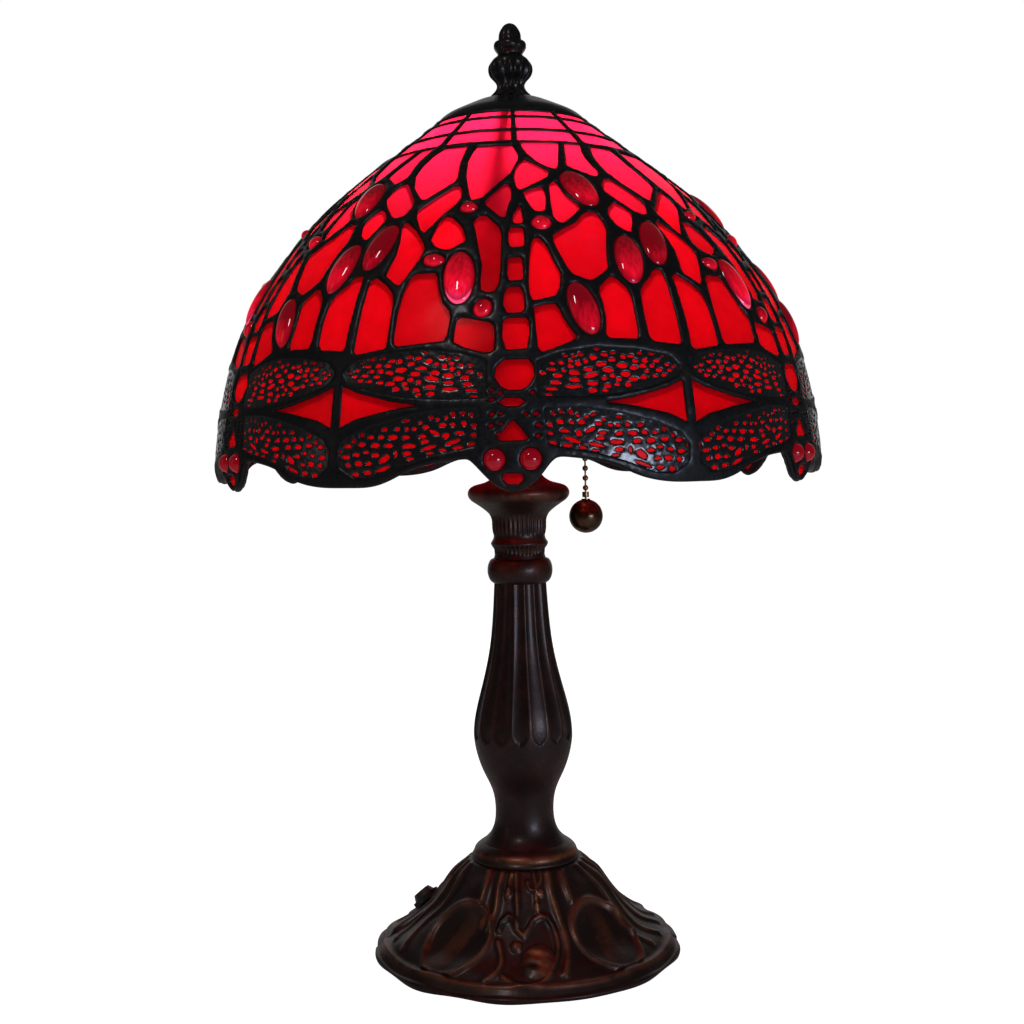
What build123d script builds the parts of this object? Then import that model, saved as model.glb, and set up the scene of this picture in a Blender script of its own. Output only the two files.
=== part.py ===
from build123d import *
import math
import os

# Dragonfly table lamp: a leaded red glass shade on a cast bronze-finished column.
# Millimetres. +Z is up, the lamp's front faces -Y, and the origin is on the axis at the resting face.
# Angles on the shade are degrees round the axis from the front, positive towards +X.
# Arc lengths run down the glass's outer face, from ARC_TOP at the shade's upper edge.

os.makedirs("parts", exist_ok=True)

STANDING = (Align.CENTER, Align.CENTER, Align.MIN)

# ---------------------------------------------------------------- driving dimensions
PANELS = 6                      # the shade repeats its dragonfly six times
PITCH = 360 / PANELS
GLASS = 3.0                     # sheet glass thickness
SOLDER = 0.8                    # how far the solder lines stand above the glass, inside and out
PANE_GAP = 0.15                 # foil allowance round each pane
PLATE = 0.5                     # filigree brass plate on the wings

FACET = 12.0                    # the lead is modelled in flat strips this many degrees wide
ARC_TOP = 10.5
ARC_END = 228.5
SHADE_LINE = [                  # (radius, height) of the glass's outer face, top to bottom
    (38.1, 413.0), (60.2, 396.0), (80.3, 380.0), (97.6, 364.0), (117.4, 340.0),
    (132.2, 316.0), (143.1, 284.0), (147.4, 260.0), (148.2, 246.0), (146.2, 235.0),
]

PIPE_R = 4.8                    # threaded lamp pipe
PIPE_BORE = 3.5
PIPE_HOLE = 5.0                 # clearance hole in every piece that the pipe clamps
PIPE_Z = (3.0, 256.0)

PAD_R = 73.0
PAD_T = 1.5
WEIGHT_R = 43.0
FOOT_TOP = 47.0
COLLAR_TOP = 55.5
LOWER_TOP = 186.5
RING_TOP = 199.0
NECK_TOP = 226.5
CAP_TOP = 246.0

HARP_TURN = -4.5                # the harp's front leg stands a little left of the front
HARP_WIRE = 2.0                 # wire radius
STUD_R = 3.1                    # shade stud on the harp
STUD_Z = (422.0, 438.0)
STUD_FLANGE = 425.8
SHADE_CAP_TOP = 427.0
FINIAL_Z = 427.3

SOCKET_Z = 247.2                # underside of the socket cap
SHELL_Z = (259.0, 305.0)
SHELL_R = 16.8
BODY_Z = (260.5, 286.0)
BULB_Z = 392.0                  # crown of the bulb

CHAIN_X = 33.7                  # the pull chain hangs this far to the lamp's right
CHAIN_Z = 274.0                 # height of the chain guide's level bore
BEAD_R = 1.45
BEAD_PITCH = 4.9
CORE_R = 0.45
FEED_X = 20.1                    # outermost bead of the level stretch, clear of the elbow when pulled
FEED_BEADS = 3
GUIDE_MOUTH = 261.0
SWING_Z = 263.0                 # the chain swings from the guide's mouth
BALL_R = 8.5
BALL_Z = 219.4
DROP_BEADS = 7
LINK_Z = 229.4                  # the ball hangs in the coupling by a small bead
LINK_R = 0.95
COUPLING_Z = (228.9, 231.6)
LEVER_R = 10.0                  # switch lever, from its pin to the chain
LEVER_X = 3.0

GLAND_ANGLE = -112.0            # the cord gland sits on the foot's left flank, towards the back
GLAND_LINE = ((57.3, 16.0), (52.8, 20.0))


# ---------------------------------------------------------------- helpers
def save(name, *solids):
    """Write one sub-part as parts/name.step."""
    shape = solids[0] if len(solids) == 1 else Compound(children=list(solids))
    shape.label = name
    export_step(shape, f"parts/{name}.step")


def turned(points, smooth=()):
    """A solid of revolution from (radius, height) points.

    A smooth entry (first, last) makes the points from first to last one spline.
    """
    edges = []
    index = 0
    spans = dict(smooth)
    while index < len(points):
        last = spans.get(index, index + 1)
        stretch = [(r, 0, z) for r, z in points[index:last + 1]]
        if last >= len(points):
            stretch = [(points[index][0], 0, points[index][1]), (points[0][0], 0, points[0][1])]
        edges.append(Spline(*stretch) if len(stretch) > 2 else Line(*stretch))
        index = last
    return revolve(make_face(edges), Axis.Z)


def drum(radius, low, high, bore=0.0):
    """A round disc or tube on the axis."""
    body = Pos(0, 0, low) * Cylinder(radius, high - low, align=STANDING)
    if bore:
        body -= Pos(0, 0, low - 1) * Cylinder(bore, high - low + 2, align=STANDING)
    return body


def rod(start, end, radius):
    """A round bar between two points."""
    path = Line(start, end)
    plane = Plane(origin=start, z_dir=path % 0)
    return plane * Cylinder(radius, path.length, align=STANDING)


# ---------------------------------------------------------------- shade surface
SHADE_EDGE = Spline(*[(r, 0, z) for r, z in SHADE_LINE])


def on_shade(angle, arc):
    """The point on the glass's outer face at an angle and arc length, and the normal there."""
    fraction = min(1.0, (arc - ARC_TOP) / SHADE_EDGE.length)
    along = SHADE_EDGE % fraction
    point = SHADE_EDGE @ fraction + along * (arc - ARC_TOP - fraction * SHADE_EDGE.length)
    turn = math.radians(angle)
    place = Vector(point.X * math.sin(turn), -point.X * math.cos(turn), point.Z)
    normal = Vector(-along.Z * math.sin(turn), along.Z * math.cos(turn), along.X)
    return place, normal


def wall_points(lift):
    """The shade's outline moved out by lift along its own normal, drawn in to suit flat facets."""
    flatten = (1 + math.cos(math.radians(FACET / 2))) / 2
    moved = []
    for r, z in SHADE_LINE:
        along = SHADE_EDGE % SHADE_EDGE.param_at_point((r, 0, z))
        moved.append(((r - along.Z * lift) * flatten, 0, z + along.X * lift))
    return moved


def facet(low, high, middle):
    """One flat-faced strip of the shade's wall, FACET degrees wide, between two lifts."""
    outline = wall_points(high) + wall_points(low)[::-1]
    strip = extrude(make_face(Polyline(*outline, close=True)), 50, both=True)
    half = 200 * math.tan(math.radians(FACET / 2))
    wedge = extrude(make_face(Polyline((0, 0, 200), (200, -half, 200), (200, half, 200), close=True)), 250)
    return Rot(Z=middle - 90) * (strip & wedge)


def facet_middles(extra=0):
    count = round(PITCH / FACET)
    return [FACET * i for i in range(-(count // 2) - extra, count // 2 + 1 + extra)]


def tangent_plane(angle, arc):
    place, normal = on_shade(angle, arc)
    across = Vector(math.cos(math.radians(angle)), math.sin(math.radians(angle)), 0)
    return Plane(origin=place, x_dir=across, z_dir=normal)


def prism(outline, shrink=0.0, low=-12.0, high=12.0):
    """A straight block through the shade wall, from (angle, arc length) corners."""
    angles = [a for a, s in outline]
    arcs = [s for a, s in outline]
    plane = tangent_plane((min(angles) + max(angles)) / 2, (min(arcs) + max(arcs)) / 2)
    flat = []
    for angle, arc in outline:
        local = plane.to_local_coords(on_shade(angle, arc)[0])
        flat.append((local.X, local.Y))
    face = make_face(Polyline(*flat, close=True))
    if shrink:
        face = offset(face, -shrink, kind=Kind.INTERSECTION)
    return plane * Pos(0, 0, low) * extrude(face, high - low)


def oval(angle, arc, wide, tall, tilt, shrink=0.0):
    """An elliptical block through the shade wall."""
    plane = tangent_plane(angle, arc)
    face = Ellipse(wide / 2 - shrink, tall / 2 - shrink)
    return plane * Rot(Z=tilt) * extrude(face, 12, both=True)


def band(left, right, top, bottom, steps=4):
    """Corners of a strip that follows the shade's rings."""
    width = (right - left) / steps
    upper = [(left + width * i, top) for i in range(steps + 1)]
    lower = [(right - width * i, bottom) for i in range(steps + 1)]
    return upper + lower


# ---------------------------------------------------------------- one panel of the pattern
BANDS = [band(left, right, top, bottom)
         for left, right in ((-28.3, -0.4), (2.4, 28.5))
         for top, bottom in ((11.6, 16.8), (19.0, 30.4), (32.6, 43.2))]

SKY = [
    [(-27.2, 46.5), (-17.4, 46.5), (-17.2, 61), (-15.7, 75), (-16.4, 79), (-22.4, 90), (-23.6, 89.5),
     (-27.8, 80), (-30.4, 70), (-30.7, 60), (-29.6, 52)],
    [(-13.3, 48), (0.2, 48), (2.0, 57), (1.6, 62), (-0.6, 73), (-7.6, 91), (-10, 92.5), (-10.8, 89),
     (-13.2, 74), (-14.4, 61), (-14.0, 53)],
    [(3.4, 45), (18.8, 45), (14.0, 67), (12.8, 69.8), (10.5, 68), (7.6, 63), (5.0, 55), (3.7, 49)],
    [(4.0, 61.5), (10.8, 72), (9.6, 76.5), (6.2, 81), (1.8, 86.5), (1.0, 84), (0.4, 76), (1.0, 69),
     (2.2, 64.5)],
    [(21.2, 45), (28.2, 45), (26.2, 52), (25.6, 58), (26.0, 65), (26.8, 69), (25.6, 73), (24, 74.7),
     (22, 72.6), (17.8, 67.8), (17.1, 65.5)],
    [(24.9, 81), (26.6, 76), (28.6, 75.8), (31, 81), (34.2, 89.5), (34.7, 94), (33.6, 99.5), (31.6, 100.6),
     (30, 99), (26.4, 91), (24.6, 86)],
    [(22.4, 101), (23.2, 97.3), (25, 93.6), (25.9, 93.6), (27.6, 96.6), (28.8, 100.5), (27.8, 106),
     (26.3, 112), (25, 111.6), (23.4, 108.4), (22.6, 104)],
    [(-23.3, 97), (-22, 94), (-15.8, 82), (-14.2, 81.2), (-13.2, 85), (-13, 90), (-13.8, 94.5),
     (-16.5, 101.5),
     (-18.5, 108), (-19.6, 111.3), (-20.8, 109), (-22.8, 101)],
    [(-6.8, 93.5), (-6, 91), (-2.1, 81.6), (-1, 81.8), (-0.4, 86), (-0.5, 92), (-1.3, 98), (-1.8, 103.8),
     (-2.6, 104.3), (-4.1, 101), (-6.2, 96.4)],
    [(2.6, 88), (3.5, 86.8), (7.4, 83.8), (7.9, 86), (8.1, 91), (7.8, 95.5), (7.2, 100.3), (5.5, 101),
     (4.6, 99.3), (3.3, 93)],
    [(9.6, 82), (10.8, 80), (11.6, 79.8), (12.1, 82), (13.1, 89.5), (15.7, 96), (15.9, 98.2), (13.9, 102.8),
     (11, 108), (9.8, 107.2), (9, 104), (9.1, 93)],
    [(8.2, 115), (10, 112.2), (14, 107), (16, 102.2), (17.6, 100.3), (19.4, 101.4), (20.3, 107), (20.3, 112),
     (19.4, 118), (18.4, 127), (18.1, 133), (16.6, 136), (14.5, 139.3), (13.6, 139.2), (11, 136.4),
     (10.1, 133), (8.8, 124), (8.2, 119)],
    [(4.4, 116), (5.5, 117.4), (6.6, 121.5), (7.5, 129), (8.6, 136.5), (8.1, 143), (7.3, 146.8), (5.6, 148),
     (3.2, 149.2), (2.7, 146), (2.6, 140), (3, 128), (3.6, 119.5)],
    [(-25.5, 104.6), (-24.8, 103.8), (-21.6, 109.8), (-19.2, 116.8), (-18.4, 120.8), (-18.8, 125),
     (-19.8, 130.6), (-21.1, 137.2), (-21.9, 139.6), (-22.9, 138.4), (-25.2, 134.2), (-25.2, 131),
     (-24.4, 123), (-24.7, 115), (-25.5, 108)],
    [(-15.6, 102.2), (-14.5, 102.2), (-13.4, 103.8), (-11.6, 108), (-10.5, 112.5), (-9.9, 117.2),
     (-11, 119.2),
     (-13, 121.9), (-14.5, 121.6), (-16.3, 119.4), (-17.5, 116), (-17.3, 112), (-16.7, 106)],
    [(-7.6, 102.8), (-6, 102.8), (-4.9, 105.6), (-3.1, 110), (-2.6, 114), (-2.6, 134), (-2.9, 141),
     (-3.6, 144.4), (-5, 145), (-6, 143.6), (-6.2, 139), (-6.1, 131), (-7, 122), (-8, 112), (-8.8, 106.4)],
    [(3.3, 152.5), (5, 151.2), (7, 151), (7.6, 153), (8.3, 157.5), (9.5, 163), (10.3, 165.6), (9.4, 167.3),
     (6, 170.8), (4.3, 172), (3.7, 170), (3.5, 162)],
    [(18.3, 137.2), (19.1, 138.2), (20.8, 143), (21.3, 147), (21.3, 163), (21, 166.4), (16, 166.2),
     (15.4, 164.4), (15.8, 157), (15.7, 150), (15.3, 146), (15.6, 142.8), (17, 139.4)],
    [(23.4, 145), (24.5, 141), (26.5, 137), (27.5, 133.8), (28.2, 133), (29.6, 133.3), (29.7, 141),
     (29.6, 155), (29.5, 167), (29.1, 168.6), (24, 167.5), (23.3, 165), (23.1, 156)],
    [(-28.4, 136.5), (-27.3, 134.7), (-24.6, 139), (-22.8, 143.5), (-22.3, 148), (-22.3, 167.8),
     (-22.8, 168.8), (-28, 170.6), (-28.6, 169), (-28.5, 150)],
    [(-19.7, 136), (-18.6, 134.2), (-15, 134.2), (-14.4, 137), (-13.8, 143), (-12.8, 149.4), (-11.5, 153),
     (-11.2, 156), (-11.6, 164), (-12, 166.4), (-14, 166.7), (-20, 167.9), (-20.8, 167.2), (-21, 164),
     (-21, 153), (-20.5, 143)],
    [(-10, 157.6), (-9.2, 156.4), (-8, 156.8), (-4.4, 158.8), (-3.6, 160.5), (-3.5, 166), (-3.6, 171),
     (-5, 171.9), (-8.5, 169.4), (-10.3, 167), (-10.3, 163)],
]

TAIL = [
    [(1.3, 96.8), (1.9, 99), (2.1, 107), (1.6, 108.2), (0.3, 108.2), (-0.2, 106), (0.1, 102)],
    [(-0.6, 110.6), (1.8, 110.6), (2.2, 113), (2.1, 120.4), (1.6, 121.7), (-0.6, 121.7), (-1, 119),
     (-1.1, 113)],
    [(-0.8, 127.4), (1.2, 127.4), (1.6, 129), (1.6, 138), (1.1, 139.4), (-0.9, 139.4), (-1.3, 136),
     (-1.2, 129)],
    [(-1.2, 142.6), (0.9, 142.6), (1.6, 146), (1.6, 153), (1.1, 154.7), (-1.4, 154.7), (-2, 151),
     (-1.9, 146)],
    [(-1.6, 157.2), (1.8, 157), (2.3, 159), (2.3, 164), (1.8, 170.4), (-1.6, 170.8), (-2.2, 165),
     (-2.1, 159)],
    [(-1.9, 175), (2, 175), (2.8, 178), (2.9, 182), (1.9, 186), (0.8, 187.6), (-1.2, 187.6), (-2.5, 186),
     (-3.5, 182), (-3.2, 178)],
    [(-2.9, 192.6), (-1.9, 190.8), (0.4, 190.8), (1.4, 192.6), (0.2, 194.2), (-1.7, 194.2)],
    [(-0.7, 200), (-0.2, 200.8), (1.7, 207.2), (1.2, 208), (-2.6, 208), (-3.1, 207.2), (-1.2, 200.8)],
    [(-2.2, 221.2), (0.6, 221.2), (0.9, 223.4), (0, 225.6), (-1.6, 225.6), (-2.5, 223.4)],
]

LEAN = -0.8                     # the dragonfly's head stands this far left of its panel's middle
WING_UPPER = [(4.2, 176), (8.2, 172.5), (14.2, 170.4), (21.2, 171.4), (27.2, 174), (28.9, 178.5),
              (27.7, 182.5), (23.2, 186.5), (17.2, 189.3), (10.2, 190.5), (4.2, 190.3)]
WING_LOWER = [(5.2, 195.5), (11.2, 195.5), (17.2, 198), (23.2, 202), (27.7, 206.5), (29, 211),
              (28.7, 217.5), (26.2, 221.8), (22.7, 221.3), (18.2, 217), (13.2, 213.2), (8.2, 211),
              (5.7, 209.5)]
KITE = [(15.2, 193), (20.2, 191), (26.2, 187), (29.1, 184), (29.1, 201.5), (26.2, 198), (20.2, 194.7)]


def both_sides(outline):
    """A wing-side outline and its mirror image about the dragonfly's own axis."""
    right = [(LEAN + a, s) for a, s in outline]
    left = [(LEAN - a, s) for a, s in reversed(outline)]
    return [right, left]


WINGS = both_sides(WING_UPPER) + both_sides(WING_LOWER)
KITES = both_sides(KITE)

# Cabochons: (angle, arc length, width, height, tilt in degrees)
JEWELS_LARGE = [
    (17.7, 84.3, 14.0, 25.6, 14),
    (23.2, 127.6, 12.6, 26.4, -8),
    (30.8, 117.6, 12.6, 26.0, -12),
    (-10.3, 136.8, 13.0, 26.4, 4),
    (12.0, 152.8, 11.8, 24.4, 14),
]
JEWELS_SMALL = [
    (-10.4, 97.4, 7.6, 5.8, 0),
    (6.1, 108.0, 8.4, 7.6, 0),
    (-15.8, 127.5, 9.4, 6.4, -8),
    (-5.6, 152.3, 7.4, 8.6, -25),
]
EYES = [(LEAN + side * 2.8, 215.5, 8.4, 8.4, 0) for side in (1, -1)]

# The lower edge of the shade, one panel wide, left to right
SCALLOP = [(-31, 225.5), (-28.5, 225.6), (-24, 225), (-21, 222.6), (-18, 219), (-15, 216.6), (-12, 215),
           (-9.5, 214.4), (-7.5, 214.6), (-6.6, 216.4), (-5, 221), (-3.2, 225.4), (-1.6, 227.6), (-0.8, 228),
           (0, 227.6), (1.6, 225.4), (3.4, 221), (4.8, 216.4), (5.8, 214.4), (8, 214), (10.4, 214.8),
           (13.4, 216.2), (16.4, 218.6), (19.4, 222), (22.4, 224.2), (26, 225.4), (29, 225.6), (31, 225.5)]


def scallop_block(middle):
    """The block that trims one facet below the scalloped edge."""
    left = middle - FACET / 2 - 1
    right = middle + FACET / 2 + 1
    inner = [(a, s) for a, s in SCALLOP if left < a < right]
    ends = [(edge, edge_arc(edge)) for edge in (left, right)]
    return prism([ends[0]] + inner + [ends[1], (right, ARC_END + 14), (left, ARC_END + 14)])


def edge_arc(angle):
    """The arc length of the scalloped edge at an angle, straight between its points."""
    line = [(a - PITCH, s) for a, s in SCALLOP] + SCALLOP + [(a + PITCH, s) for a, s in SCALLOP]
    for (a, s), (b, t) in zip(line, line[1:]):
        if a <= angle < b:
            return s + (t - s) * (angle - a) / (b - a)
    return SCALLOP[0][1]


def straddles(outline):
    return max(a for a, s in outline) > PITCH / 2 or min(a for a, s in outline) < -PITCH / 2


def panel_openings():
    """Every hole through one panel's lead, with the two neighbours' holes that cross its edges."""
    blocks = []
    for outline in BANDS + SKY + TAIL + WINGS + KITES:
        block = prism(outline)
        blocks.append(block)
        if straddles(outline):
            blocks += [Rot(Z=PITCH) * block, Rot(Z=-PITCH) * block]
    for jewel in JEWELS_LARGE + JEWELS_SMALL + EYES:
        block = oval(*jewel)
        blocks.append(block)
        if jewel[0] > 25:
            blocks.append(Rot(Z=-PITCH) * block)
    return blocks


def lead_panel():
    strips = []
    for middle in facet_middles():
        strips.append(facet(-GLASS - SOLDER, SOLDER, middle) - scallop_block(middle))
    wall = strips[0].fuse(*strips[1:])
    return wall.cut(*panel_openings())


def sheet(low, high):
    """A faceted skin a little wider than one panel, between two lifts."""
    strips = [facet(low, high, middle) for middle in facet_middles(extra=1)]
    return strips[0].fuse(*strips[1:])


def panes():
    """One panel's glass: small panes are flat, and long ones bend with the shade."""
    flat = [prism(outline, PANE_GAP, -GLASS, 0) for outline in SKY + TAIL]
    skin = sheet(-GLASS, 0)
    bent = [(skin & prism(outline, PANE_GAP)).solids()[0] for outline in BANDS + WINGS + KITES]
    return flat + bent


def filigree():
    """The four brass wing plates, lying on their panes."""
    skin = sheet(0.02, 0.02 + PLATE)
    return [(skin & prism(outline, PANE_GAP)).solids()[0] for outline in WINGS]


def cabochon(angle, arc, wide, tall, tilt, depth):
    """A domed glass jewel, flat behind."""
    across = wide / 2 - PANE_GAP
    along = tall / 2 - PANE_GAP
    dome = scale(Sphere(1), by=(across, along, depth))
    dome -= Pos(0, 0, -depth) * Box(40, 40, 2 * depth - 4.6)
    return tangent_plane(angle, arc) * Pos(0, 0, -1.2) * Rot(Z=tilt) * dome


def copies(solids):
    """The same solids in every panel."""
    return [Rot(Z=PITCH * i) * solid for i in range(PANELS) for solid in solids]


# ---------------------------------------------------------------- shade
def make_shade():
    lead = lead_panel()
    glass = panes()
    plates = filigree()
    for i in range(PANELS):
        turn = Rot(Z=PITCH * i)
        save(f"lead_panel_{i + 1}", turn * lead)
        save(f"glass_panel_{i + 1}", *[turn * pane for pane in glass])
        save(f"wing_plates_{i + 1}", *[turn * plate for plate in plates])
    save("jewels_large", *copies([cabochon(*jewel, 6.0) for jewel in JEWELS_LARGE]))
    save("jewels_small", *copies([cabochon(*jewel, 4.5) for jewel in JEWELS_SMALL]))
    save("dragonfly_eyes", *copies([cabochon(*eye, 4.5) for eye in EYES]))
    ring = turned([(33.5, 406.5), (35.5, 406.5), (35.5, 409.7), (38.2, 413.5), (33.5, 413.5)])
    save("shade_ring", ring)
    outside = [(STUD_R + 0.08, SHADE_CAP_TOP), (9, SHADE_CAP_TOP), (13.6, 426.5), (21.6, 423.5),
               (28.2, 420.5),
               (33.8, 417.5), (37, 414.5), (37, 413.5)]
    inside = [(36, 413.5), (36, 414.1), (33.2, 416.6), (27.7, 419.6), (21.1, 422.6), (13.2, 425.4), (9, 426),
              (STUD_R + 0.08, 426)]
    save("shade_cap", turned(outside + inside, smooth=[(1, 6), (9, 14)]))


def make_finial():
    outline = [(3.2, FINIAL_Z), (9.6, FINIAL_Z), (10.6, 429.5), (7.9, 432.5), (6.7, 435.5), (9.1, 438.5),
               (10.4, 442), (9.8, 444.5), (7.8, 447.5), (6.7, 450.5), (8.5, 453.5), (6.3, 456.5),
               (5.5, 459.5),
               (4, 462.5), (0, 464.5), (0, 440), (3.2, 440)]
    save("finial", turned(outline, smooth=[(4, 9)]))


# ---------------------------------------------------------------- foot and column
def make_foot():
    outside = [(28, FOOT_TOP), (33.3, 42), (37.3, 38), (41.8, 32), (46.6, 26), (52.8, 20), (60.3, 14),
               (67.1, 10),
               (72.3, 6), (75.8, 4), (77.1, 2.6), (76.6, 0.8)]
    inside = [(PAD_R + 0.4, 0.8), (PAD_R + 0.4, PAD_T), (70, 2.6), (64, 7), (56.5, 11.5), (49.4, 17.3),
              (43, 23.6),
              (38.5, 29.7), (34, 35.6), (29, 40.8), (25, 43.4), (9, 43.4), (9, 19), (PIPE_HOLE, 19),
              (PIPE_HOLE, FOOT_TOP)]
    foot = turned(outside + inside, smooth=[(0, 10), (14, 22)])
    place, aim = gland_seat()
    bore = Plane(origin=place, z_dir=aim) * Cylinder(5.2, 24)
    save("foot", foot - bore)
    save("cord_gland", gland(place, aim))
    save("felt_pad", drum(PAD_R, 0, PAD_T))
    save("base_weight", drum(WEIGHT_R, 11, 19, PIPE_HOLE))
    save("pipe_washer", drum(14, 9.4, 11, PIPE_HOLE))
    nut = extrude(RegularPolygon(8.2, 6), 5) - Cylinder(PIPE_R, 20)
    save("pipe_nut", Pos(0, 0, 4.4) * nut)
    save("lamp_pipe", drum(PIPE_R, *PIPE_Z, PIPE_BORE))


def gland_seat():
    """Where the cord leaves the foot, and which way."""
    (r_low, z_low), (r_high, z_high) = GLAND_LINE
    turn = math.radians(GLAND_ANGLE)
    out = Vector(math.sin(turn), -math.cos(turn), 0)
    slope = Vector(z_high - z_low, 0, r_low - r_high).normalized()
    place = out * ((r_low + r_high) / 2) + Vector(0, 0, (z_low + z_high) / 2)
    return place, out * slope.X + Vector(0, 0, slope.Z)


def gland(place, aim):
    """A black bushing: a stem through the wall, a flange on it and a short nose, bored for the cord."""
    body = Pos(0, 0, -4) * Cylinder(5.0, 12)
    body += Pos(0, 0, 2.2) * Cylinder(7.6, 2.4)
    body += Pos(0, 0, 5.0) * Cone(6.2, 4.6, 3.4)
    body -= Cylinder(3.2, 40)
    return Plane(origin=place, z_dir=aim) * body


def column_piece(name, outside, smooth, inner_wall):
    """A cast column piece round the lamp pipe, hollow where inner_wall gives a cavity outline."""
    low = outside[0][1]
    high = outside[-1][1]
    spans = [(1 + a, 1 + b) for a, b in smooth]
    piece = turned([(PIPE_HOLE, low)] + outside + [(PIPE_HOLE, high)], smooth=spans)
    if inner_wall:
        cavity = [(0, inner_wall[0][1])] + inner_wall + [(0, inner_wall[-1][1])]
        piece -= turned(cavity, smooth=[(1, len(inner_wall))])
    save(name, piece)


def make_column():
    column_piece("column_collar", [(26.6, FOOT_TOP), (27.3, 48.5), (26.4, 50), (25.9, 51.5), (23.7, 54),
                                   (21.4, COLLAR_TOP)], [(0, 2), (2, 5)], [])
    lower = [(21.4, COLLAR_TOP), (17.9, 59), (15.2, 65.5), (14.7, 71.5), (16.1, 81.5), (20.5, 91.5),
             (24.2, 103.5),
             (25, 111.5), (23.6, 122.5), (20, 136.5), (16.4, 152.5), (14.2, 171), (13.2, LOWER_TOP)]
    hollow = [(10, 66), (10.8, 72), (12.4, 81.5), (16.4, 91), (20.2, 103), (21.2, 111.5), (19.8, 122),
              (16.4, 136),
              (12.8, 152), (10.6, 170), (9.8, 180)]
    column_piece("column_baluster", lower, [(0, 12)], hollow)
    column_piece("column_bead", [(13.2, LOWER_TOP), (15.2, 189), (16.3, 191.5), (15.8, 194), (14.1, 196.5),
                                 (13.1, RING_TOP)], [(0, 5)], [])
    column_piece("column_neck", [(13.1, RING_TOP), (13.1, 204.6), (14.4, 206.4), (13.4, 208.4), (13.3, 214),
                                 (13.8, 219.5), (16, 222.4), (21.4, NECK_TOP)], [(1, 3), (3, 7)], [])
    column_piece("column_cap", [(21.4, NECK_TOP), (24.6, 229), (25.6, 231.5), (24.9, 233.8), (17, 237.2),
                                (11.5, 241.5), (10, CAP_TOP)], [(0, 3), (3, 6)], [])


# ---------------------------------------------------------------- harp and socket
def make_harp():
    turn = Rot(Z=HARP_TURN)
    foot_y = 25.0
    saddle = Pos(0, 0, CAP_TOP) * Box(13, 2 * foot_y + 9, 1.2, align=STANDING)
    saddle -= Cylinder(PIPE_HOLE, 600)
    for side in (1, -1):
        saddle += Pos(0, side * foot_y, CAP_TOP + 1.2) * (
            Cylinder(3.4, 8.8, align=STANDING)
            - Pos(0, 0, 1.5) * Cylinder(HARP_WIRE + 0.1, 10, align=STANDING))
    half = Spline((0, foot_y, CAP_TOP + 3), (0, foot_y + 1.5, 262), (0, 44, 315), (0, 46, 350), (0, 33, 395),
                  (0, 12, 416.7), (0, 3, 419.8), tangents=[(0, 0, 1), (0, -1, 0)])
    leg = sweep(Plane(origin=half @ 0, z_dir=half % 0) * Circle(HARP_WIRE), path=half)
    bridge = Pos(0, 0, 419) * Cylinder(5, 3, align=STANDING)
    legs = leg + mirror(leg, Plane.XZ) + bridge
    save("harp", turn * legs)
    save("harp_saddle", turn * (saddle - legs))
    ferrules = [Pos(0, side * foot_y, 256.2) * (Cylinder(4.4, 12, align=STANDING)
                - Cylinder(3.5, 40)) for side in (1, -1)]
    save("harp_ferrules", *[turn * (ferrule - legs) for ferrule in ferrules])
    stud = drum(6, STUD_Z[0], STUD_FLANGE) + drum(STUD_R, STUD_FLANGE, STUD_Z[1])
    save("harp_stud", stud)


def make_socket():
    cup = turned([(PIPE_R, SOCKET_Z), (9, SOCKET_Z), (9, 250), (15.4, 255.5), (17.6, 259), (17.6, 264),
                  (17, 264),
                  (17, 259.4), (15, 256.2), (8.4, 250.8), (PIPE_R, 250.8)])
    cup += Pos(0, -9, 248.8) * Rot(X=90) * Cylinder(1.2, 1.5)
    save("socket_cap", cup)
    shell_wall = drum(SHELL_R, *SHELL_Z, SHELL_R - 0.5)
    hole = rod((10, 0, CHAIN_Z), (30, 0, CHAIN_Z), 3.35)
    save("socket_shell", shell_wall - hole)
    save("socket_liner", drum(SHELL_R - 0.6, 260, 303, SHELL_R - 1.3) - hole)
    body = drum(15.2, *BODY_Z)
    body -= Pos(LEVER_X + 1, 0, 270) * Box(24, 5, 20)
    body -= hole
    body -= rod((LEVER_X, -20, CHAIN_Z - LEVER_R), (LEVER_X, 20, CHAIN_Z - LEVER_R), 1.25)
    for side in (1, -1):
        body -= Pos(-6, side * 15, 268) * Box(8, 8, 8)
    save("socket_body", body)
    thread = drum(13.9, BODY_Z[1], 304, 13.4)
    save("screw_shell", thread)
    contact = drum(4.2, BODY_Z[1], BODY_Z[1] + 0.8)
    contact += Pos(0, 0, BODY_Z[1] + 0.8) * Cone(3, 1.6, 2, align=STANDING)
    save("centre_contact", contact)
    screws = []
    for side in (1, -1):
        slot = Pos(0, 0, -side * 0.8) * Box(0.6, 6, 0.8)
        screws.append(Pos(-6, side * 11.8, 268) * Rot(X=90) * (Cylinder(2.8, 1.6) - slot))
    save("terminal_screws", *screws)


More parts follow.
